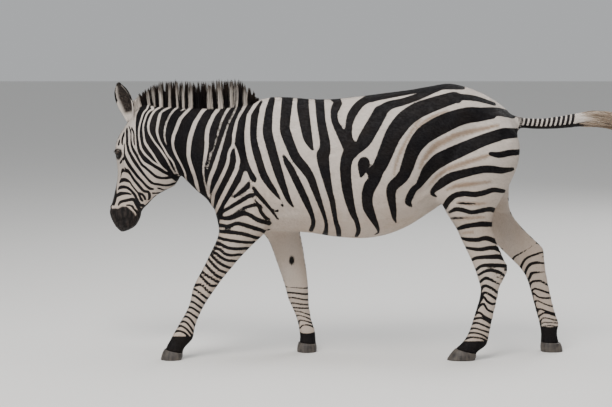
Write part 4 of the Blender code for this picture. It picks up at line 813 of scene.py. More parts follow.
# %% [markdown]
# The eye sits in the skull with two thirds of the ball hidden. Skin near it is drawn on to a sphere a little
# larger than the ball, and inside the opening of the lids it is drawn behind the ball. The rims of the lids
# are made apart, as a strip that closes the edge. Each foot is trimmed to end just inside its hoof.

# %% Sockets
LID = 0.0024
GAZE = Vector((-0.30, 0.95, 0.10)).normalized()
OPEN_HALF = (0.0168, 0.0098)


def eye_frame(side):
    """Middle of the eye, the way it looks, and the opening's long and short directions, head straight."""
    look = Vector((GAZE.x, GAZE.y * side, GAZE.z)).normalized()
    along = (Vector((1, 0, 0.30)) - look * look.dot(Vector((1, 0, 0.30)))).normalized()
    up = look.cross(along)
    up = up if up.z > 0 else -up
    return Vector((EYE[0], EYE[1] * side, EYE[2])), look, along, up


def opening(u, v):
    """Below 1 inside the almond of the lids."""
    lean = np.where(v > 0, 1.0, 0.85)
    return (np.abs(u) / OPEN_HALF[0]) ** 1.7 + (np.abs(v) / (OPEN_HALF[1] * lean)) ** 1.7


for side in (-1, 1):
    middle, look, along, up = eye_frame(side)
    gap = co - np.array(middle)
    u, v, w = gap @ np.array(along), gap @ np.array(up), gap @ np.array(look)
    size = np.linalg.norm(gap, axis=1)
    flat = np.hypot(u, v)
    front = (w > 0) & (size < 0.05)
    ball_top = np.sqrt(np.clip((EYE_RADIUS + LID) ** 2 - flat ** 2, 0, None))
    share = np.clip((0.030 - flat) / 0.014, 0, 1)
    share = share * share * (3 - 2 * share)
    height = np.maximum(w, ball_top) * share + w * (1 - share)
    height = np.where(flat < 0.0185, ball_top, height)
    inside = opening(u, v) < 1.15
    height = np.where(inside, np.sqrt(np.clip((EYE_RADIUS - 0.004) ** 2 - flat ** 2, 0, None)), height)
    co = np.where(front[:, None], co + (height - w)[:, None] * np.array(look), co)
for fx, fz, bx, bz, _, _, y, side in HOOVES.values():
    middle = np.array(((fx + bx) / 2, side * y, (fz + bz) / 2))
    down = np.array((fz - bz, 0.0, bx - fx)) / math.hypot(bx - fx, fz - bz)
    down = down if down[2] < 0 else -down
    gap = co - middle
    below = gap @ down
    here = (np.linalg.norm(gap, axis=1) < 0.11) & (below > 0.001)
    flat = gap - below[:, None] * down
    co = np.where(here[:, None], middle + flat * 0.86 + down * np.minimum(below, 0.004)[:, None], co)
put_points(mesh, co)

# %% [markdown]
# An ear is a cup of one wall. It is made like the solid ear but finer, and joined to the skin by a Boolean,
# so that one skin runs over the head and the ears.

# %% Ears
def ear_shell(bm, name):
    """One cupped ear, added to bm, head straight."""
    root, tip, opens = (Vector(v) for v in EARS[name])
    axis = tip - root
    opens = (opens - axis * (opens.dot(axis) / axis.length_squared)).normalized()
    across = axis.cross(opens).normalized()
    low = math.cos(EAR_ARC)
    loops = []
    for share, half, depth in spread(EAR, 3):
        middle = root + axis * share
        wall = min(EAR_WALL, 0.45 * half, 0.6 * depth)
        loop = []
        for k in range(17):
            angle = EAR_ARC * (k / 8 - 1)
            back = depth * (math.cos(angle) - low) / (1 - low)
            loop.append(middle + across * (half * math.sin(angle) / math.sin(EAR_ARC)) - opens * back)
        for k in range(15):
            angle = EAR_ARC * (1 - (k + 0.5) / 7.5)
            back = (depth - wall) * (math.cos(angle) - low) / (1 - low) - 0.3 * wall
            out = (half - wall) * math.sin(angle) / math.sin(EAR_ARC)
            loop.append(middle + across * out - opens * back)
        loops.append([tuple(p) for p in loop])
    skinned(bm, loops)


bm = bmesh.new()
for name in EARS:
    ear_shell(bm, name)
ears = made("ear_shells", bm, animal)
join = skin.modifiers.new("ears", "BOOLEAN")
join.operation = "UNION"
join.solver = "EXACT"
join.object = ears
settled(skin)
bpy.data.objects.remove(ears)
mesh = skin.data
co = positions(mesh)
root_gap = np.minimum(*(np.linalg.norm(co - np.array(EARS[n][0]), axis=1) for n in EARS))
share = np.clip(1 - (root_gap / 0.05) ** 2, 0, 1) * 0.8
co = eased(co, edge_pairs(mesh), 6, share)
put_points(mesh, co)
print("skin with ears", len(mesh.vertices), "points", len(mesh.polygons), "faces")

# %% [markdown]
# The markings as a signed distance: positive inside a dark stripe, in metres. It is worked out for any point,
# so the skin and every tuft of hair read the same drawing. The two sides of a real zebra are never mirrored,
# so on the right one the drawing wanders by up to a centimetre.

# %% Markings
def brush(stroke, step=7.0):
    """A stroke's points at short steps along a smooth curve, in metres."""
    rows = np.array(stroke, float)
    if len(rows) > 2:
        rows = np.array(spread(rows, max(1, int(np.hypot(*np.ptp(rows[:, :2], axis=0)) / len(rows) / step))))
    return rows / 1000


def painted(flat, strokes, edge=0.02):
    """How far each point (x, z) lies inside the nearest of the strokes."""
    best = np.full(len(flat), -edge)
    for stroke in strokes:
        rows = brush(stroke)
        low = (rows[:, :2] - rows[:, 2:]).min(axis=0) - edge
        high = (rows[:, :2] + rows[:, 2:]).max(axis=0) + edge
        pick = np.nonzero(np.all((flat > low) & (flat < high), axis=1))[0]
        if not len(pick):
            continue
        p = flat[pick]
        field = np.full(len(pick), -edge)
        for a, b in zip(rows[:-1], rows[1:]):
            ex, ez = b[0] - a[0], b[1] - a[1]
            t = np.clip(((p[:, 0] - a[0]) * ex + (p[:, 1] - a[1]) * ez) / max(ex * ex + ez * ez, 1e-9), 0, 1)
            gap = np.hypot(p[:, 0] - a[0] - t * ex, p[:, 1] - a[1] - t * ez)
            field = np.maximum(field, a[2] + (b[2] - a[2]) * t - gap)
        best[pick] = np.maximum(best[pick], field)
    return best


def inside(flat, shape, edge=0.02):
    """How far each point (x, z) lies inside a closed outline."""
    rows = np.array(shape, float) / 1000
    pick = np.nonzero(np.all((flat > rows.min(axis=0) - edge) & (flat < rows.max(axis=0) + edge), axis=1))[0]
    out = np.full(len(flat), -edge)
    p = flat[pick]
    gap = np.full(len(pick), edge)
    within = np.zeros(len(pick), bool)
    for a, b in zip(rows, np.roll(rows, -1, axis=0)):
        e = b - a
        t = np.clip((p - a) @ e / (e @ e), 0, 1)
        gap = np.minimum(gap, np.linalg.norm(p - a - t[:, None] * e, axis=1))
        crosses = (a[1] > p[:, 1]) != (b[1] > p[:, 1])
        rise = e[1] if abs(e[1]) > 1e-9 else 1e-9
        within ^= crosses & (p[:, 0] < a[0] + e[0] * (p[:, 1] - a[1]) / rise)
    out[pick] = np.where(within, gap, -gap)
    return out


def carried(stroke, old, new):
    """A band of one leg, carried over to another leg's pose."""
    fine_old, fine_new = np.array(spread(old, 8)), spread(new, 8)
    out = []
    for x, z, half in stroke:
        p = np.array((x, z)) / 1000
        front, back = fine_old[:, :2], fine_old[:, 2:4]
        line = back - front
        share = np.sum((p - front) * line, axis=1) / np.sum(line * line, axis=1)
        off = np.linalg.norm(front + share[:, None] * line - p, axis=1)
        row = int(np.argmin(off))
        rib = fine_new[min(len(fine_new) - 1, round(row * (len(fine_new) - 1) / (len(fine_old) - 1)))]
        spot = rib[:2] + (rib[2:4] - rib[:2]) * share[row]
        out.append((spot[0] * 1000, spot[1] * 1000, half))
    return tuple(out)


FORE_BANDS_RIGHT = tuple(carried(s, FORE_LEFT, FORE_RIGHT) for s in FORE_BANDS)
HIND_BANDS_RIGHT = tuple(carried(s, HIND_LEFT, HIND_RIGHT) for s in HIND_BANDS)
TAIL_BARS = tuple(
    ((648 + 23 * k, 1250, 6.5), (640 + 23 * k, 1205, 7), (630 + 23 * k, 1165, 6)) for k in range(13)
)


def smooth(low, high, value):
    """0 below low, 1 above high, easing between."""
    t = np.clip((value - low) / (high - low), 0, 1)
    return t * t * (3 - 2 * t)


# The chestnut of the right foreleg: x, z and half width.
CHESTNUT = (-0.490, 0.475, 0.014)


def markings(co, out):
    """Stripe, shadow and bare dark skin for points and their outward directions, head straight."""
    x, y, z = co.T
    far = smooth(0.0, 0.07, y)
    wander = np.column_stack((
        0.010 * np.sin(11 * z + 5 * x) + 0.006 * np.sin(29 * z - 17 * x),
        0.008 * np.sin(13 * x + 2.0),
    )) * (far * smooth(-1.0, -0.8, x))[:, None]
    flat = np.column_stack((x, z)) + wander
    stripe = np.maximum(inside(flat, NECK_GROUND), painted(flat, BLACK))
    stripe = np.minimum(stripe, -painted(flat, WHITE))
    stripe = np.maximum(stripe, painted(flat, BLACK_OVER))
    inward = -out[:, 1] * np.sign(y)
    for near, distant, zone, above in (
        (FORE_BANDS, FORE_BANDS_RIGHT, (x < -0.33) & (x > -1.2) & (z < 0.95), (0.31, 0.42)),
        (HIND_BANDS, HIND_BANDS_RIGHT, (x > 0.12) & (z < 1.0), (0.46, 0.62)),
    ):
        for bands, here in ((near, zone & (y < 0)), (distant, zone & (y >= 0))):
            pick = np.nonzero(here)[0]
            field = painted(flat[pick], bands)
            fade = smooth(0.15, 0.75, inward[pick]) * (0.0014 + 0.015 * smooth(*above, z[pick]))
            stripe[pick] = np.maximum(stripe[pick], field - fade)
    tail = (x > 0.64) & (z > 0.95)
    stripe[tail] = np.maximum(-0.02, painted(flat[tail], TAIL_BARS))
    under = np.where(tail, smooth(0.15, 0.75, -out[:, 2]) * 0.02 - 0.006, -0.02)
    stripe = np.where(tail, np.maximum(stripe, under), stripe)
    # lines down the front of the face
    head = (x < -1.27) & (z > 0.76)
    pick = np.nonzero(head)[0]
    if len(pick):
        front = np.column_stack((np.abs(y[pick]), z[pick]))
        field = painted(front, FACE_FRONT)
        ahead = smooth(0.45, 0.75, -out[pick, 0])
        stripe[pick] = np.maximum(stripe[pick] - 0.02 * ahead, field - 0.02 * (1 - ahead))
    # the spine and the middle of the belly
    spine = np.where((x > -0.60) & (x < 0.64) & (out[:, 2] > 0), 0.007 - np.abs(y), -0.02)
    belly = np.where((x > -0.55) & (x < 0.15) & (out[:, 2] < 0), 0.012 - np.abs(y), -0.02)
    stripe = np.maximum(stripe, np.maximum(spine, belly))
    # the feet are dark above the hooves
    feet = np.where(x < -0.7, 0.125, np.where(x < 0.1, 0.100, np.where(x < 0.6, 0.100, 0.128)))
    stripe = np.maximum(stripe, np.clip(feet - z + 0.006 * np.sin(40 * y + 3), -0.02, 0.02))
    bare = np.maximum(inside(flat, MUZZLE), inside(flat, EYE_PATCH))
    # the dark of the muzzle runs up the front of the nose to a point
    nose = np.interp(z, (0.70, 0.76, 0.84, 0.90, 0.94), (0.070, 0.054, 0.034, 0.016, -0.02)) - np.abs(y)
    bare = np.maximum(bare, nose - 0.04 * smooth(0.45, 0.20, -out[:, 0]))
    bare = np.where(x > -1.15, -0.02, bare)
    # the chestnut on the inner side of the foreleg
    wart = CHESTNUT[2] - np.hypot(x - CHESTNUT[0], (z - CHESTNUT[1]) * 0.6)
    bare = np.where((y > 0) & (inward > 0.3) & (x > -1.0), np.maximum(bare, wart), bare)
    stripe = np.where(x < -1.15, np.minimum(stripe, -inside(flat, BROW)), stripe)
    shadow = painted(flat, SHADOW)
    return np.clip(stripe, -0.015, 0.015), np.clip(shadow, -0.02, 0.02), np.clip(bare, -0.02, 0.02)


def put(mesh, name, values, kind="FLOAT"):
    """Stores one value for each point of the mesh."""
    layer = mesh.attributes.new(name, kind, "POINT")
    field = "value" if kind == "FLOAT" else "vector"
    layer.data.foreach_set(field, np.ascontiguousarray(values, np.float32).ravel())


def ear_side(co):
    """For points on an ear: share of its length (-1 elsewhere) and how near they are to its edge, 1 on it."""
    share = np.full(len(co), -1.0)
    edge = np.zeros(len(co))
    stations = np.array(EAR)
    for name in EARS:
        root, tip, opens = (np.array(v) for v in EARS[name])
        axis = tip - root
        gap = co - root
        t = gap @ axis / (axis @ axis)
        off = gap - t[:, None] * axis
        here = (t > 0.14) & (t < 1.1) & (np.linalg.norm(off, axis=1) < 0.062) & (co[:, 2] > 1.19)
        across = np.cross(axis, opens)
        lateral = np.abs(off @ across) / np.linalg.norm(across)
        share = np.where(here, t, share)
        edge = np.where(here, lateral / np.interp(t, stations[:, 0], stations[:, 1]), edge)
    return share, edge


straight = positions(mesh)
facing = normals(mesh)
stripe, shadow, bare = markings(straight, facing)
ear_share, ear_edge = ear_side(straight)
print("marked", round(float((stripe > 0).mean()), 3), "of the points dark")


def ear_hollow(co, out):
    """1 where the surface faces the way the ear opens."""
    hollow = np.zeros(len(co))
    for name, side in (("ear_left", -1), ("ear_right", 1)):
        opens = np.array(EARS[name][2])
        opens = opens / np.linalg.norm(opens)
        here = np.sign(co[:, 1]) == side
        hollow = np.where(here, smooth(-0.15, 0.25, out @ opens), hollow)
    return hollow


def on_ears(stripe, share, edge, inside_ear):
    """Stripe and painted shade of an ear: a dark tip and band behind, a dark rim, and inside a cup that
    darkens towards its middle, partly its dark inner skin and partly painted shade.
    """
    behind = np.maximum((share - 0.80) * 0.19, (0.08 - np.abs(share - 0.40)) * 0.19)
    rim = np.maximum((edge - 0.83) * 0.05, (share - 0.93) * 0.19) - 0.02 * smooth(0.55, 0.42, share)
    own = np.clip(np.where(inside_ear > 0.5, rim, behind), -0.015, 0.015)
    blend = smooth(0.12, 0.22, share)
    # the cup: darker towards the middle of the ear's hollow, partly dark inner skin and partly painted shade
    cup = inside_ear * blend * smooth(0.88, 0.58 - 0.25 * smooth(0.6, 0.9, share), edge)
    return np.where(share >= 0, own * blend + stripe * (1 - blend), stripe), cup


stripe, hollow = on_ears(stripe, ear_share, ear_edge, ear_hollow(straight, facing))
put(mesh, "stripe", stripe)
put(mesh, "shadow", shadow)
put(mesh, "bare", bare)
put(mesh, "hollow", hollow)

# %% [markdown]
# The skin is unwrapped by its own shape, so that the looks can be baked.

# %% Unwrap
bpy.context.view_layer.objects.active = skin
skin.select_set(True)
rounded(mesh)
mesh.uv_layers.new(name="OFBake")
bpy.ops.object.mode_set(mode="EDIT")
bpy.ops.mesh.select_all(action="SELECT")
bpy.ops.uv.smart_project(angle_limit=math.radians(66), island_margin=0.001)
bpy.ops.object.mode_set(mode="OBJECT")
mesh = skin.data
print("unwrapped", len(mesh.loops), "corners")

# %% [markdown]
# The looks. One node group turns the stored markings into colour: warm off-white, near black, faint brown
# shadow stripes, the dark cup of the ears (partly painted shade) and the bare dark skin of the muzzle. Skin
# and hair share it.

# %% Materials
def group_nodes(name):
    """A new node group with its input and output nodes."""
    tree = bpy.data.node_groups.new(name, "ShaderNodeTree")
    return tree, tree.nodes.new("NodeGroupOutput")


class Wires:
    """Short names for adding nodes to a tree."""

    def __init__(self, tree):
        self.tree = tree

    def add(self, kind, **values):
        node = self.tree.nodes.new(kind)
        for key, value in values.items():
            setattr(node, key, value)
        return node

    def join(self, out, into):
        self.tree.links.new(out, into)

    def attribute(self, name):
        return self.add("ShaderNodeAttribute", attribute_name=name, attribute_type="GEOMETRY").outputs["Fac"]

    def place(self):
        return self.add("ShaderNodeTexCoord").outputs["Object"]

    def noise(self, scale, detail=3.0, stretch=None, rough=0.55):
        node = self.add("ShaderNodeTexNoise")
        node.inputs["Scale"].default_value = scale
        node.inputs["Detail"].default_value = detail
        node.inputs["Roughness"].default_value = rough
        source = self.place()
        if stretch:
            shaper = self.add("ShaderNodeMapping")
            shaper.inputs["Scale"].default_value = stretch
            self.join(source, shaper.inputs["Vector"])
            source = shaper.outputs["Vector"]
        self.join(source, node.inputs["Vector"])
        return node.outputs["Fac"]

    def math(self, operation, a, b=None, clamp=False):
        node = self.add("ShaderNodeMath", operation=operation, use_clamp=clamp)
        for slot, value in zip(node.inputs, (a, b)):
            if value is None:
                continue
            if isinstance(value, (int, float)):
                slot.default_value = value
            else:
                self.join(value, slot)
        return node.outputs[0]

    def ramp(self, value, low, high, to_low=0.0, to_high=1.0):
        node = self.add("ShaderNodeMapRange", clamp=True)
        self.join(value, node.inputs["Value"])
        for key, number in (("From Min", low), ("From Max", high), ("To Min", to_low), ("To Max", to_high)):
            node.inputs[key].default_value = number
        return node.outputs["Result"]

    def mix(self, share, a, b, blend="MIX"):
        node = self.add("ShaderNodeMix", data_type="RGBA", blend_type=blend)
        for slot, value in ((node.inputs["Factor"], share), (node.inputs[6], a), (node.inputs[7], b)):
            if isinstance(value, (int, float)):
                slot.default_value = value
            elif isinstance(value, tuple):
                slot.default_value = (*value, 1.0)
            else:
                self.join(value, slot)
        return node.outputs[2]


PALE_TOP = (0.58, 0.525, 0.475)
PALE_LOW = (0.50, 0.405, 0.330)
DARK = (0.0050, 0.0044, 0.0052)
DARK_WARM = (0.0095, 0.0068, 0.0056)
SHADOW_BROWN = (0.26, 0.175, 0.115)
MUZZLE_DARK = (0.0075, 0.0060, 0.0056)
MUZZLE_LIGHT = (0.034, 0.026, 0.023)
# Inside an ear's cup: its dark inner skin, darkened further towards the middle as painted shade.
EAR_CUP_SKIN_AND_SHADE = (0.014, 0.011, 0.010)


def colours():
    """The node group that turns the markings into a colour and a share of bare skin."""
    tree, sink = group_nodes("markings")
    tree.interface.new_socket("Color", in_out="OUTPUT", socket_type="NodeSocketColor")
    tree.interface.new_socket("Bare", in_out="OUTPUT", socket_type="NodeSocketFloat")
    w = Wires(tree)
    height = w.add("ShaderNodeSeparateXYZ")
    w.join(w.place(), height.inputs[0])
    low = w.ramp(height.outputs["Z"], 1.16, 0.70)
    cloud = w.noise(5.0, 4.0)
    low = w.math("MULTIPLY", low, w.ramp(cloud, 0.30, 0.62, 0.45, 1.0))
    pale = w.mix(low, PALE_TOP, PALE_LOW)
    pale = w.mix(w.ramp(w.noise(38.0, 4.0), 0.35, 0.75, 0.0, 0.22), pale, (0.40, 0.32, 0.26))
    grain = w.noise(420.0, 2.0, (1.0, 1.0, 0.25))
    pale = w.mix(w.ramp(grain, 0.35, 0.65, 0.0, 0.16), pale, (0.36, 0.31, 0.28))
    shade_line = w.math("ADD", w.attribute("shadow"), w.math("MULTIPLY", w.noise(60.0, 3.0), 0.008))
    shade = w.math("MULTIPLY", w.ramp(shade_line, -0.003, 0.009), 0.85)
    pale = w.mix(shade, pale, SHADOW_BROWN)
    dark = w.mix(w.ramp(w.noise(9.0, 3.0), 0.40, 0.70), DARK, DARK_WARM)
    dark = w.mix(w.ramp(grain, 0.45, 0.75, 0.0, 0.45), dark, (0.019, 0.0165, 0.0185))
    wobble = w.math("MULTIPLY", w.math("SUBTRACT", w.noise(240.0, 3.0), 0.5), 0.0035)
    edge = w.math("ADD", w.attribute("stripe"), wobble)
    black = w.ramp(edge, -0.0007, 0.0007)
    colour = w.mix(black, pale, dark)
    # the cup of the ear darkens towards its middle: partly dark inner skin, partly painted shade
    inner = w.mix(w.ramp(w.noise(120.0, 3.0), 0.40, 0.72), EAR_CUP_SKIN_AND_SHADE, (0.085, 0.068, 0.058))
    colour = w.mix(w.attribute("hollow"), colour, inner)
    lines = w.noise(34.0, 3.0, (2.2, 2.2, 0.55))
    snout = w.mix(w.ramp(lines, 0.46, 0.66), MUZZLE_DARK, MUZZLE_LIGHT)
    bare_edge = w.math("ADD", w.attribute("bare"), w.math("MULTIPLY", wobble, 2.0))
    bare_share = w.ramp(bare_edge, -0.003, 0.003)
    colour = w.mix(bare_share, colour, snout)
    w.join(colour, sink.inputs["Color"])
    w.join(bare_share, sink.inputs["Bare"])
    return tree


MARKINGS = colours()


def blank(name):
    """A material with a fresh Principled shader and its wires."""
    material = bpy.data.materials.new(name)
    material.use_nodes = True
    tree = material.node_tree
    shader = next(n for n in tree.nodes if n.type == "BSDF_PRINCIPLED")
    return material, Wires(tree), shader


def coat_material(name, bump, roughness, specular, tuft=False):
    """Skin or hair in the markings."""
    material, w, shader = blank(name)
    marks = w.add("ShaderNodeGroup")
    marks.node_tree = MARKINGS
    colour = marks.outputs["Color"]
    if tuft:
        shade = w.ramp(w.attribute("tuft"), 0.0, 1.0, 0.80, 1.12)
        scale = w.add("ShaderNodeVectorMath", operation="SCALE")
        w.join(colour, scale.inputs[0])
        w.join(shade, scale.inputs["Scale"])
        colour = scale.outputs[0]
    w.join(colour, shader.inputs["Base Color"])
    rough = w.ramp(marks.outputs["Bare"], 0.0, 1.0, roughness, roughness - 0.12)
    w.join(rough, shader.inputs["Roughness"])
    shader.inputs["Specular IOR Level"].default_value = specular
    grain = w.noise(900.0, 2.0, (1.0, 1.0, 0.22))
    folds = w.noise(60.0, 3.0, (1.6, 1.6, 0.5))
    folds = w.math("MULTIPLY", folds, w.ramp(marks.outputs["Bare"], 0, 1, 0.25, 1.6))
    height = w.math("ADD", w.math("MULTIPLY", grain, 0.6), folds)
    node = w.add("ShaderNodeBump")
    node.inputs["Strength"].default_value = bump
    node.inputs["Distance"].default_value = 0.002
    w.join(height, node.inputs["Height"])
    w.join(node.outputs["Normal"], shader.inputs["Normal"])
    return material


HIDE = coat_material("hide", 0.55, 0.58, 0.14)
HAIR = coat_material("short_hair", 0.25, 0.60, 0.06, tuft=True)
mesh.materials.clear()
mesh.materials.append(HIDE)

FLESH_NODES = [n for n in nodes if n.split("_")[0] in ("head", "neck", "trunk", "leg", "ear") or n == "tail"]


def settle_in_place(obj):
    """Turns the head and moves the piece into the model's frame."""
    reshape(obj.data, lambda points: turned(points) + SHIFT)


# %% [markdown]
# The short coat. It lies flat, so most of it is bump, and thin overlapping tufts break its surface and its
# outline. Each tuft is a narrow blade whose root stands on the skin and whose tip lies back along the body:
# from the muzzle up and back over the neck and the flanks, and down the legs. The face and the legs have the
# shortest hair.

# %% Short coat
rng = np.random.default_rng(11)


def skin_samples(mesh):
    """The skin's triangles with what a tuft needs from them."""
    mesh.calc_loop_triangles()
    count = len(mesh.loop_triangles)
    corners = np.empty(count * 3, dtype=np.int32)
    loops = np.empty(count * 3, dtype=np.int32)
    mesh.loop_triangles.foreach_get("vertices", corners)
    mesh.loop_triangles.foreach_get("loops", loops)
    uv = np.empty(len(mesh.loops) * 2)
    mesh.uv_layers["OFBake"].data.foreach_get("uv", uv)
    return corners.reshape(-1, 3), uv.reshape(-1, 2)[loops].reshape(-1, 3, 2)


CORNERS, CORNER_UV = skin_samples(mesh)
SKIN_CO, SKIN_OUT = positions(mesh), normals(mesh)
A, B, C = (SKIN_CO[CORNERS[:, k]] for k in range(3))
AREA = np.linalg.norm(np.cross(B - A, C - A), axis=1) / 2
MIDDLE = (A + B + C) / 3
ON_EAR = ear_share[CORNERS].max(axis=1) > 0


def unit(v):
    return v / np.maximum(np.linalg.norm(v, axis=1), 1e-9)[:, None]


def flow(co, out, share):
    """The lie of the coat at points of the skin, head straight."""
    x, y, z = co.T
    side = np.sign(y)
    way = np.column_stack((np.ones(len(co)), 0.10 * side, np.full(len(co), -0.42)))
    neck = smooth(-0.60, -0.80, x)[:, None]
    way = way * (1 - neck) + np.array((0.80, 0.0, -0.62)) * neck
    head = smooth(-1.14, -1.24, x)[:, None]
    face = np.column_stack((-0.25 + 0 * x, 0.0 * x, -1.0 + 0 * x))
    way = way * (1 - head) + face * head
    low = smooth(0.86, 0.62, z) * (x > -1.15)
    low = (low * np.where((x > -0.40) & (x < 0.22), 0.25, 1.0))[:, None]
    way = way * (1 - low) + np.array((0.16, 0.0, -1.0)) * low
    tail = ((x > 0.66) & (z > 0.95))[:, None]
    way = np.where(tail, np.array((1.0, 0.0, -0.08)), way)
    for name, sign in (("ear_left", -1), ("ear_right", 1)):
        axis = np.array(EARS[name][1]) - np.array(EARS[name][0])
        way = np.where(((share > 0) & (side == sign))[:, None], axis / np.linalg.norm(axis), way)
    swirl = 0.16 * np.sin(9 * x + 7 * z) + 0.10 * np.sin(31 * x - 23 * z + 4 * y)
    way = way + np.cross(out, way) * swirl[:, None]
    return unit(way - out * np.sum(way * out, axis=1)[:, None])


def blade_mesh(name, rows, uv, faces_per, **values):
    """A mesh of blades that share one pattern of faces: rows holds their points as (blades, points, 3)."""
    count, points = rows.shape[:2]
    starts = np.arange(count, dtype=np.int32)[:, None] * points
    loops = [starts + np.array(face, dtype=np.int32) for face in faces_per]
    totals = [len(face) for face in faces_per]
    per = sum(totals)
    offsets = np.concatenate(([0], np.cumsum(totals)[:-1])).astype(np.int32)
    all_loops = np.concatenate(loops, axis=1)
    mesh = bpy.data.meshes.new(name)
    mesh.vertices.add(count * points)
    mesh.vertices.foreach_set("co", rows.astype(np.float32).ravel())
    mesh.loops.add(count * per)
    mesh.loops.foreach_set("vertex_index", all_loops.ravel())
    mesh.polygons.add(count * len(faces_per))
    begin = (np.arange(count, dtype=np.int32)[:, None] * per + offsets).ravel()
    mesh.polygons.foreach_set("loop_start", begin)
    mesh.polygons.foreach_set("loop_total", np.tile(np.array(totals, dtype=np.int32), count))
    mesh.polygons.foreach_set("use_smooth", np.ones(count * len(faces_per), dtype=bool))
    layer = mesh.uv_layers.new(name="OFBake")
    spread_uv = 0.0030 * (np.column_stack((np.arange(points) % 2, np.arange(points) / (points - 1))) - 0.5)
    corner_uv = uv[:, None, :] + spread_uv[None]
    pattern = np.concatenate([np.array(f) for f in faces_per])
    layer.data.foreach_set("uv", np.clip(corner_uv[:, pattern], 0, 1).astype(np.float32).ravel())
    for key, value in values.items():
        value = np.asarray(value, float)
        put(mesh, key, np.repeat(value, points) if value.ndim == 1 else value.ravel())
    mesh.validate()
    mesh.update()
    obj = bpy.data.objects.new(name, mesh)
    animal.objects.link(obj)
    return obj


def roots(chosen, count):
    """Places on the chosen triangles, spread evenly over their area."""
    index = np.nonzero(chosen)[0]
    weight = AREA[index] / AREA[index].sum()
    pick = index[rng.choice(len(index), count, p=weight)]
    a, b = rng.random(count), rng.random(count)
    over = a + b > 1
    a[over], b[over] = 1 - a[over], 1 - b[over]
    share = np.column_stack((1 - a - b, a, b))
    tri = CORNERS[pick]
    co = np.einsum("nk,nkd->nd", share, SKIN_CO[tri])
    out = unit(np.einsum("nk,nkd->nd", share, SKIN_OUT[tri]))
    uv = np.einsum("nk,nkd->nd", share, CORNER_UV[pick])
    return co, out, uv


def tuft_size(co, share):
    """Length and width of the tufts by where they stand."""
    x, _, z = co.T
    length = np.full(len(co), 0.0135)
    length = np.where(x < -0.75, 0.0110, length)
    leg = smooth(0.80, 0.50, z)
    length = length * (1 - leg) + 0.0080 * leg
    head = smooth(-1.10, -1.22, x)
    face = 0.0075 - 0.0030 * smooth(0.95, 0.75, z)
    length = length * (1 - head) + face * head
    length = np.where(share > 0, 0.0080, length)
    length = np.where((x > 0.66) & (z > 0.95), 0.0065, length)
    return length, 0.00055 + 0.105 * length


# How much each row of a tuft's points takes from the skin under its tip, so that only the tip crosses an edge.
UNDER_TIP = np.array((0.0, 0.0, 0.45, 0.45, 0.6))


def coat_piece(name, chosen, count, material):
    """One piece of the coat on the chosen triangles of the skin."""
    co, out, uv = roots(chosen, count)
    share, edge = ear_side(co)
    gap = np.minimum(*(np.linalg.norm(co - np.array((EYE[0], s * EYE[1], EYE[2])), axis=1) for s in (-1, 1)))
    mouth = line_gap(co, FOLDS[2][0])
    nose = line_gap(co, FOLDS[0][0])
    keep = (gap > EYE_RADIUS + 0.0035) & (mouth > 0.003) & (nose > 0.007) & (co[:, 2] > 0.035)
    co, out, uv, share, edge = co[keep], out[keep], uv[keep], share[keep], edge[keep]
    length, width = tuft_size(co, share)
    length = length * rng.uniform(0.7, 1.25, len(co))
    way = flow(co, out, share)
    turn = rng.normal(0, 0.16, len(co))
    across = np.cross(out, way)
    way, across = (way * np.cos(turn)[:, None] + across * np.sin(turn)[:, None],
                   across * np.cos(turn)[:, None] - way * np.sin(turn)[:, None])
    lift = length * rng.uniform(0.06, 0.17, len(co))
    half = (width * rng.uniform(0.7, 1.1, len(co)) / 2)[:, None]
    low = co - out * 0.0006
    mid = co + way * (0.55 * length)[:, None] + out * (0.75 * lift)[:, None]
    tip = co + way * length[:, None] + out * lift[:, None]
    rows = np.stack((low - across * half, low + across * half, mid - across * half * 0.85,
                     mid + across * half * 0.85, tip), axis=1)
    hollow = ear_hollow(co, out)
    stripe, shadow, bare = markings(co, out)
    under = on_ears(markings(tip, out)[0], share, edge, hollow)[0]
    stripe, hollow = on_ears(stripe, share, edge, hollow)
    stripe = stripe[:, None] * (1 - UNDER_TIP) + under[:, None] * UNDER_TIP
    obj = blade_mesh(name, rows, uv, ((0, 1, 3, 2), (2, 3, 4)), stripe=stripe, shadow=shadow, bare=bare,
                     hollow=hollow, tuft=rng.random(len(co)))
    obj.data.materials.append(material)
    finish_piece(obj)
    print(name, len(co), "tufts")


def finish_piece(obj, replaced=()):
    """Puts a piece in place, hangs it on the root, and hides the parts it replaces."""
    settle_in_place(obj)
    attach(obj, "root")
    if replaced:
        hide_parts(*replaced)


X, Y, Z = MIDDLE.T
is_head = (X < -1.14) & ((X < -1.20) | (Z < 1.30)) & ((X + 0.45 * (Z - 0.9) < -1.10) | (Z < 0.85)) | ON_EAR
is_leg = (Z < 0.72) & ~((X > -0.42) & (X < 0.22)) & ~is_head
is_tail = (X > 0.66) & (Z > 0.95)
is_neck = (X < -0.72) & ~is_head & ~is_leg
is_trunk = ~(is_head | is_leg | is_tail | is_neck)
share = 1.0
for name, chosen, count in (
    ("coat_head", is_head, 56000), ("coat_neck", is_neck, 62000),
    ("coat_trunk_left", is_trunk & (Y < 0), 62000), ("coat_trunk_right", is_trunk & (Y >= 0), 62000),
    ("coat_legs_fore", is_leg & (X < 0), 48000), ("coat_legs_hind", is_leg & (X >= 0), 48000),
    ("coat_tail", is_tail & (X < 1.02), 7000),
):
    print(name, round(AREA[chosen].sum(), 3), "m2")
    coat_piece(name, chosen, int(count * share), HAIR)

# %% [markdown]
# The mane stands up like a brush, striped in line with the neck, with dark tips. A thin comb fills its middle
# and long blades stand round it. The foremost lock, before the ears, is pale.

# %% Mane
def mane_line(steps):
    """Stations of the mane, as arrays."""
    return np.array(spread(MANE, steps))


def mane_stripe(x):
    """Stripe value of the mane over a place along the crest."""
    flat = np.column_stack((x, np.full(len(x), 1.302)))
    field = np.minimum(inside(flat, NECK_GROUND), -painted(flat, WHITE))
    field = np.where(x < -1.245, -0.004, field)
    return np.clip(np.where(x > -0.70, 0.004, field), -0.015, 0.015)


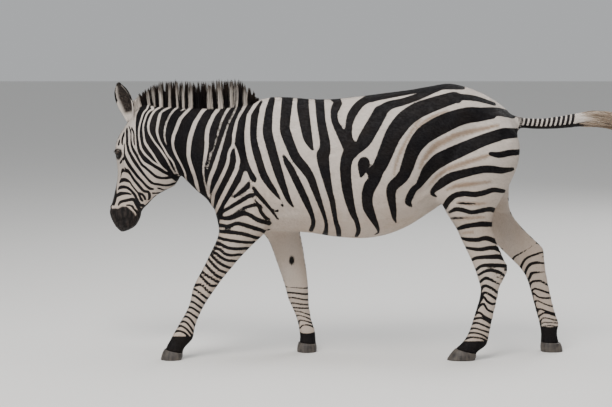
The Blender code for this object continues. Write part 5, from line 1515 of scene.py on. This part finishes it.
def hair_material(name, tips):
    """Long hair in the markings, darker towards the tips."""
    material, w, shader = blank(name)
    marks = w.add("ShaderNodeGroup")
    marks.node_tree = MARKINGS
    shade = w.ramp(w.attribute("tuft"), 0.0, 1.0, 0.70, 1.20)
    scale = w.add("ShaderNodeVectorMath", operation="SCALE")
    w.join(marks.outputs["Color"], scale.inputs[0])
    w.join(shade, scale.inputs["Scale"])
    w.join(w.mix(w.attribute("tip"), scale.outputs[0], tips), shader.inputs["Base Color"])
    shader.inputs["Roughness"].default_value = 0.55
    shader.inputs["Specular IOR Level"].default_value = 0.06
    return material


MANE_HAIR = hair_material("mane_hair", (0.030, 0.020, 0.015))


def strands(name, lines, widths, uv, **values):
    """Long blades along the lines, (blades, points, 3), the last point a tip."""
    count, points = lines.shape[:2]
    along = lines[:, -1] - lines[:, 0]
    other = unit(rng.normal(0, 1, (count, 3)) * np.array((1.0, 0.5, 0.3)))
    across = unit(np.cross(along, other))[:, None, :]
    taper = np.sqrt(1 - (np.arange(points - 1) / (points - 1)) ** 2)
    half = widths[:, None, None] / 2 * taper[None, :, None]
    rows = np.empty((count, 2 * points - 1, 3))
    rows[:, 0:-1:2] = lines[:, :-1] - across * half
    rows[:, 1:-1:2] = lines[:, :-1] + across * half
    rows[:, -1] = lines[:, -1]
    faces = [(2 * k, 2 * k + 1, 2 * k + 3, 2 * k + 2) for k in range(points - 2)]
    faces.append((2 * points - 4, 2 * points - 3, 2 * points - 2))
    return blade_mesh(name, rows, uv, faces, **values)


def tip_share(count, points, low, high):
    """Per point of a strand: 0 low down, 1 at the tip."""
    k = np.concatenate([np.repeat(np.arange(points - 1), 2), [points - 1]]) / (points - 1)
    return np.repeat(smooth(low, high, k)[None], count, axis=0)


line = mane_line(13)
bm = bmesh.new()
loops = []
for rx, rz, tx, tz, half in line:
    loop = []
    for k in range(8):
        t = k / 7
        thick = half * (0.80 - 0.66 * t)
        loop.append((rx + (tx - rx) * t * 0.58, -thick, rz + (tz - rz) * t * 0.58))
    loop += [(x, -y, z) for x, y, z in reversed(loop)]
    loops.append(loop)
skinned(bm, loops)
comb = made("mane_comb", bm, animal)
co = positions(comb.data)
height = np.clip((co[:, 2] - 1.26) / 0.13, 0, 1)
put(comb.data, "stripe", mane_stripe(co[:, 0] + 0.10 * (co[:, 2] - 1.30)))
for key in ("shadow", "bare"):
    put(comb.data, key, np.full(len(co), -0.02))
put(comb.data, "hollow", np.zeros(len(co)))
put(comb.data, "tuft", np.full(len(co), 0.3))
put(comb.data, "tip", smooth(0.60, 0.95, height))
comb.data.uv_layers.new(name="OFBake")
index = np.empty(len(comb.data.loops), dtype=np.int32)
comb.data.loops.foreach_get("vertex_index", index)
low, high = co.min(axis=0), co.max(axis=0)
flat = (co - low) / (high - low)
side_uv = np.column_stack((flat[:, 0], 0.48 * flat[:, 2] + np.where(co[:, 1] > 0, 0.51, 0.0)))
comb.data.uv_layers["OFBake"].data.foreach_set("uv", side_uv[index].astype(np.float32).ravel())
comb.data.materials.append(MANE_HAIR)

LOCK = 0.0095
GATHER = 0.72
count = int(20000 * (1))
at = rng.random(count) * (len(line) - 1)
k = np.minimum(at.astype(int), len(line) - 2)
part = (at - k)[:, None]
station = line[k] * (1 - part) + line[k + 1] * part
side = rng.uniform(-1, 1, count)
root = np.column_stack((station[:, 0], side * station[:, 4] * 0.95, station[:, 1] - 0.006))
top = np.column_stack((station[:, 2], side * station[:, 4] * 0.34, station[:, 3]))
# hair stands in locks, each with its own height and lean, and its strands meet near one tip
lock = np.floor((station[:, 0] + 0.35 * side * 0.009 + rng.normal(0, 0.0012, count)) / LOCK).astype(int)
lock_row = np.where(side < -0.33, 0, np.where(side < 0.33, 1, 2))
keys = (lock - lock.min()) * 3 + lock_row
lock_rng = np.random.default_rng(5)
lock_high = lock_rng.uniform(0.83, 1.0, keys.max() + 1)[keys]
lock_lean = lock_rng.normal(0, 1, (keys.max() + 1, 2))[keys] * np.array((0.0065, 0.004))
backward = 0.020 * smooth(-0.84, -0.72, station[:, 0]) - 0.010 * smooth(-1.10, -1.22, station[:, 0])
lock_x = (lock + 0.5) * LOCK
reach = lock_high * rng.uniform(0.86, 1.0, count)
reach = np.where(rng.random(count) < 0.15, reach * rng.uniform(0.45, 0.85, count), reach)
tip = root + (top - root) * reach[:, None]
tip[:, 0] += (lock_x - station[:, 0]) * GATHER + (lock_lean[:, 0] + backward) * reach
tip[:, 0] += rng.normal(0, 0.0012, count)
tip[:, 1] += (lock_lean[:, 1] + rng.normal(0, 0.0016, count)) * reach
bend = rng.normal(0, 0.0022, (count, 3))
steps = np.linspace(0, 1, 4)
lines = np.stack([root * (1 - t) + tip * t + bend * (4 * t * (1 - t)) for t in steps], axis=1)
field = mane_stripe(station[:, 0] + rng.normal(0, 0.0012, count))
tips = tip_share(count, 4, 0.55, 1.0) * np.where(station[:, 0] < -1.245, 0.25, 1.0)[:, None]
unit_uv = np.column_stack(((station[:, 0] - low[0]) / (high[0] - low[0]), np.where(side > 0, 0.60, 0.09)))
mane = strands("mane_hair", lines, rng.uniform(0.0016, 0.0030, count), np.clip(unit_uv, 0.01, 0.99),
               stripe=field, shadow=np.full(count, -0.02), bare=np.full(count, -0.02), hollow=np.zeros(count),
               tuft=rng.random(count), tip=tips)
mane.data.materials.append(MANE_HAIR)
finish_piece(comb, ("mane",))
finish_piece(mane)
print("mane", count, "strands")

# %% [markdown]
# The long hair of the tail starts two thirds along the dock and ends in a dark tuft.

# %% Tail hair
rows = np.array(spread(TAIL, 6))
centre = np.column_stack(((rows[:, 0] + rows[:, 2]) / 2, np.zeros(len(rows)), (rows[:, 1] + rows[:, 3]) / 2))
radius = np.column_stack((rows[:, 4], np.hypot(rows[:, 0] - rows[:, 2], rows[:, 1] - rows[:, 3]) / 2))
first = int(np.argmin(np.abs(centre[:, 0] - 0.90)))
count = int(9000 * (1))
points = 6
begin = first + (len(rows) - 1 - first) * rng.random(count) ** 1.25 * 0.80
reach = rng.uniform(8, 16, count)
stop = np.minimum(begin + reach, len(rows) - 1.0 - 1.5 * rng.random(count) ** 2)
angle = rng.uniform(0, 2 * math.pi, count)
depth = np.sqrt(rng.uniform(0.35, 1.0, count))
lines = np.empty((count, points, 3))
wave = rng.normal(0, 0.12, count)
for j in range(points):
    t = begin + (stop - begin) * j / (points - 1)
    k = np.minimum(t.astype(int), len(rows) - 2)
    part = (t - k)[:, None]
    middle = centre[k] * (1 - part) + centre[k + 1] * part
    size = radius[k] * (1 - part) + radius[k + 1] * part
    swing = angle + wave * j
    full = depth * (0.80 + 0.26 * min(1.0, 1.6 * j / (points - 1)))
    lines[:, j, 0] = middle[:, 0]
    lines[:, j, 1] = size[:, 0] * full * np.cos(swing)
    lines[:, j, 2] = middle[:, 2] + size[:, 1] * full * np.sin(swing)
along = np.clip((lines[:, 0, 0] - 0.90) / 0.5, 0, 1)
material, w, shader = blank("tail_hair")
tone = w.add("ShaderNodeValToRGB")
stops = tone.color_ramp.elements
stops[0].position, stops[0].color = 0.0, (0.44, 0.35, 0.27, 1)
stops[1].position, stops[1].color = 1.0, (0.022, 0.015, 0.012, 1)
for place, colour in ((0.38, (0.30, 0.215, 0.150)), (0.70, (0.060, 0.040, 0.028))):
    stop_at = stops.new(place)
    stop_at.color = (*colour, 1)
w.join(w.attribute("tone"), tone.inputs["Fac"])
scale = w.add("ShaderNodeVectorMath", operation="SCALE")
w.join(tone.outputs["Color"], scale.inputs[0])
w.join(w.ramp(w.attribute("tuft"), 0.0, 1.0, 0.55, 1.30), scale.inputs["Scale"])
w.join(scale.outputs[0], shader.inputs["Base Color"])
shader.inputs["Roughness"].default_value = 0.55
TAIL_HAIR = material
low_side = smooth(0.2, -0.9, np.sin(angle)) * 0.30 * (along < 0.5)
tone_value = np.clip(along * 1.15 + low_side + rng.normal(0, 0.06, count), 0, 1)
tail_uv = np.column_stack((np.clip(along, 0.01, 0.99), np.clip(angle / (2 * math.pi), 0.01, 0.99)))
switch = strands("tail_hair", lines, rng.uniform(0.0018, 0.0034, count), tail_uv, tone=tone_value,
                 tuft=rng.random(count))
switch.data.materials.append(TAIL_HAIR)
finish_piece(switch, ("tail_switch",))
print("tail", count, "strands")

# %% [markdown]
# The eyes are glossy balls with a clear bulge over a brown iris and a pupil that lies level. A rounded rim
# closes each lid, and short lashes stand on the upper one.

# %% Eyes
def eye_material():
    """A wet eye, from the stored place on the ball."""
    material, w, shader = blank("eye")
    spot = w.add("ShaderNodeAttribute", attribute_name="gaze", attribute_type="GEOMETRY")
    split = w.add("ShaderNodeSeparateXYZ")
    w.join(spot.outputs["Vector"], split.inputs[0])
    u, v = split.outputs["X"], split.outputs["Y"]
    length = w.math("SQRT", w.math("ADD", w.math("POWER", u, 2.0), w.math("POWER", v, 2.0)))
    pupil = w.math("SQRT", w.math("ADD", w.math("POWER", w.math("DIVIDE", u, 5.6), 2.0),
                                  w.math("POWER", w.math("DIVIDE", v, 3.0), 2.0)))
    streak = w.noise(700.0, 3.0)
    iris = w.mix(w.ramp(streak, 0.35, 0.7), (0.020, 0.011, 0.007), (0.052, 0.028, 0.014))
    white = w.mix(w.ramp(length, 11.0, 13.5), iris, (0.060, 0.040, 0.032))
    colour = w.mix(w.ramp(pupil, 0.9, 1.05), (0.004, 0.004, 0.005), white)
    w.join(colour, shader.inputs["Base Color"])
    shader.inputs["Roughness"].default_value = 0.06
    shader.inputs["Specular IOR Level"].default_value = 0.30
    shader.inputs["Coat Weight"].default_value = 0.40
    shader.inputs["Coat Roughness"].default_value = 0.02
    return material


EYE_LOOK = eye_material()
LID_LOOK, w, shader = blank("lids")
lid_tone = w.mix(w.ramp(w.noise(300.0, 3.0), 0.35, 0.7), (0.014, 0.011, 0.010), (0.040, 0.031, 0.027))
w.join(lid_tone, shader.inputs["Base Color"])
shader.inputs["Roughness"].default_value = 0.42
shader.inputs["Specular IOR Level"].default_value = 0.20
# Across the rim of a lid: share of the opening, and height over the ball.
LID_RIM = ((0.95, -0.0012), (0.97, 0.0007), (1.05, 0.0021), (1.16, 0.0027), (1.30, 0.0022), (1.36, -0.0010))
lid_bm = bmesh.new()
lash_lines, lash_uv = [], []
for side, name in ((-1, "eye_left"), (1, "eye_right")):
    middle, look, along, up = eye_frame(side)
    basis = Matrix((along, up, look)).transposed()
    bm = bmesh.new()
    bmesh.ops.create_uvsphere(bm, u_segments=48, v_segments=32, radius=EYE_RADIUS - 0.0004)
    local = np.array([v.co[:] for v in bm.verts])
    for v in bm.verts:
        flat = math.hypot(v.co.x, v.co.y)
        if v.co.z > 0:
            v.co.z += 0.0012 * max(0.0, 1 - (flat / 0.0105) ** 2)
        v.co = middle + basis @ v.co
    ball = made(name + "ball", bm, animal)
    gaze = np.column_stack((local[:, 0] * 1000, local[:, 1] * 1000, np.where(local[:, 2] > 0, 1, 0)))
    put(ball.data, "gaze", gaze, "FLOAT_VECTOR")
    rounded(ball.data)
    ball.data.materials.append(EYE_LOOK)
    finish_piece(ball, (name,))
    loops = []
    for k in range(56):
        a = 2 * math.pi * k / 56
        cu, cv = math.cos(a), math.sin(a)
        power = 2 / 1.7
        u = OPEN_HALF[0] * math.copysign(abs(cu) ** power, cu)
        v = OPEN_HALF[1] * (1.0 if cv > 0 else 0.85) * math.copysign(abs(cv) ** power, cv)
        loop = []
        for grow, rise in LID_RIM:
            gu, gv = u * grow, v * grow
            top = math.sqrt(max((EYE_RADIUS + rise) ** 2 - gu * gu - gv * gv, 1e-6))
            loop.append(middle + along * gu + up * gv + look * top)
        loops.append(loop)
        if cv > 0.15:
            for _ in range(2):
                shift = rng.normal(0, 0.0006)
                start = loop[2] + along * shift
                tip = start + look * rng.uniform(0.006, 0.010) + up * rng.uniform(0.000, 0.004)
                tip += along * rng.normal(0.0, 0.002)
                sag = Vector((0, 0, -0.002))
                lash_lines.append([start, (start + tip) / 2 + sag, tip])
                lash_uv.append((0.5, 0.5))
    rings = [[lid_bm.verts.new(p) for p in loop] for loop in loops]
    for i, ringed in enumerate(rings):
        following = rings[(i + 1) % len(rings)]
        for j in range(len(ringed)):
            n = (j + 1) % len(ringed)
            lid_bm.faces.new((ringed[j], ringed[n], following[n], following[j]))
bmesh.ops.recalc_face_normals(lid_bm, faces=lid_bm.faces)
lids = made("eyelids", lid_bm, animal)
rounded(lids.data)
lids.data.materials.append(LID_LOOK)
finish_piece(lids)
lash = strands("lashes", np.array(lash_lines), np.full(len(lash_lines), 0.0007), np.array(lash_uv),
               tuft=rng.random(len(lash_lines)))
lash.data.materials.append(LID_LOOK)
finish_piece(lash)
print("eyes with", len(lash_lines), "lashes")

# %% [markdown]
# The hooves are horn: dark grey, with rings of growth that follow the coronet and fine streaks down the wall.

# %% Hooves
HORN, w, shader = blank("horn")
streaks = w.noise(70.0, 4.0, (1.0, 1.0, 0.10))
rings = w.noise(55.0, 2.0, (0.15, 0.15, 1.6))
base = w.mix(w.ramp(streaks, 0.35, 0.68), (0.016, 0.013, 0.012), (0.075, 0.062, 0.053))
dust = w.math("MULTIPLY", w.ramp(w.noise(28.0, 4.0), 0.45, 0.7), 0.45)
w.join(w.mix(dust, base, (0.13, 0.108, 0.088)), shader.inputs["Base Color"])
w.join(w.ramp(streaks, 0.3, 0.7, 0.48, 0.68), shader.inputs["Roughness"])
node = w.add("ShaderNodeBump")
node.inputs["Strength"].default_value = 0.45
node.inputs["Distance"].default_value = 0.0015
w.join(w.math("ADD", rings, w.math("MULTIPLY", streaks, 0.6)), node.inputs["Height"])
w.join(node.outputs["Normal"], shader.inputs["Normal"])
for name, (fx, fz, bx, bz, toe, heel, y, side) in HOOVES.items():
    loops = []
    for k in range(15):
        t = k / 14
        bulge = 0.003 * math.sin(math.pi * t) + 0.0007 * math.sin(2 * math.pi * 5 * t) * (0 < k < 14)
        if k == 0:
            bulge = -0.002
        rib = (fx + (toe - fx) * t - bulge, fz * (1 - t), bx + (heel - bx) * t + bulge, bz * (1 - t),
               HOOF_HALF_TOP + (HOOF_HALF_SOLE - HOOF_HALF_TOP) * t + bulge, 0.50, 2.2, 2.6, y)
        loops.append(ring(rib, side, 48))
    bm = bmesh.new()
    skinned(bm, loops)
    horn = made(name + "_horn", bm, animal)
    for poly in horn.data.polygons:
        poly.use_smooth = len(poly.vertices) == 4
    horn.data.materials.append(HORN)
    finish_piece(horn, (name,))
print(len(HOOVES), "hooves")

# %% [markdown]
# The skin goes to its place last, because the hair was grown on it with the head straight.

# %% Skin in place
settle_in_place(skin)
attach(skin, "root")
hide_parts(*FLESH_NODES)
print("skin replaces", len(FLESH_NODES), "nodes")

# %% [markdown]
# The stage: a plain pale floor, soft studio light, and a long lens at the height of a standing person.

# %% Stage
bm = bmesh.new()
bmesh.ops.create_grid(bm, x_segments=1, y_segments=1, size=30)
floor = made("floor", bm, animal)
material, w, shader = blank("floor")
shader.inputs["Base Color"].default_value = (0.72, 0.71, 0.69, 1)
shader.inputs["Roughness"].default_value = 0.9
floor.data.materials.append(material)


def area_light(name, place, size, power, colour=(1, 1, 1)):
    """A soft light that faces the animal."""
    data = bpy.data.lights.new(name, "AREA")
    data.shape = "RECTANGLE"
    data.size = data.size_y = size
    data.energy = power
    data.color = colour
    lamp = bpy.data.objects.new(name, data)
    animal.objects.link(lamp)
    lamp.location = place
    lamp.rotation_euler = (Vector((0, 0, 0.8)) - Vector(place)).to_track_quat("-Z", "Y").to_euler()


area_light("key", (-1.5, -4.0, 6.0), 3.0, 420, (1.0, 0.97, 0.93))
area_light("top", (0.5, 0.5, 6.5), 5.0, 260)
area_light("fill", (-5.0, -5.0, 2.0), 4.0, 110, (0.93, 0.96, 1.0))
area_light("back", (4.0, 5.0, 4.0), 4.0, 160)
world = bpy.data.worlds.new("studio")
world.use_nodes = True
sky = next(n for n in world.node_tree.nodes if n.type == "BACKGROUND")
sky.inputs["Color"].default_value = (0.86, 0.88, 0.90, 1)
sky.inputs["Strength"].default_value = 0.55
bpy.context.scene.world = world

CAMERA_AT = (-0.4175, -10.0, 1.85)
CAMERA_DOWN = 6.1438
lens = bpy.data.cameras.new("camera")
lens.lens = 117.647
lens.sensor_width = 36
lens.clip_end = 100
camera = bpy.data.objects.new("camera", lens)
animal.objects.link(camera)
camera.location = (CAMERA_AT[0] + SHIFT[0], CAMERA_AT[1] + SHIFT[1], CAMERA_AT[2])
camera.rotation_euler = (math.radians(90 - CAMERA_DOWN), 0, 0)
print("camera at", [round(v, 3) for v in camera.location])
bpy.context.scene.camera = camera
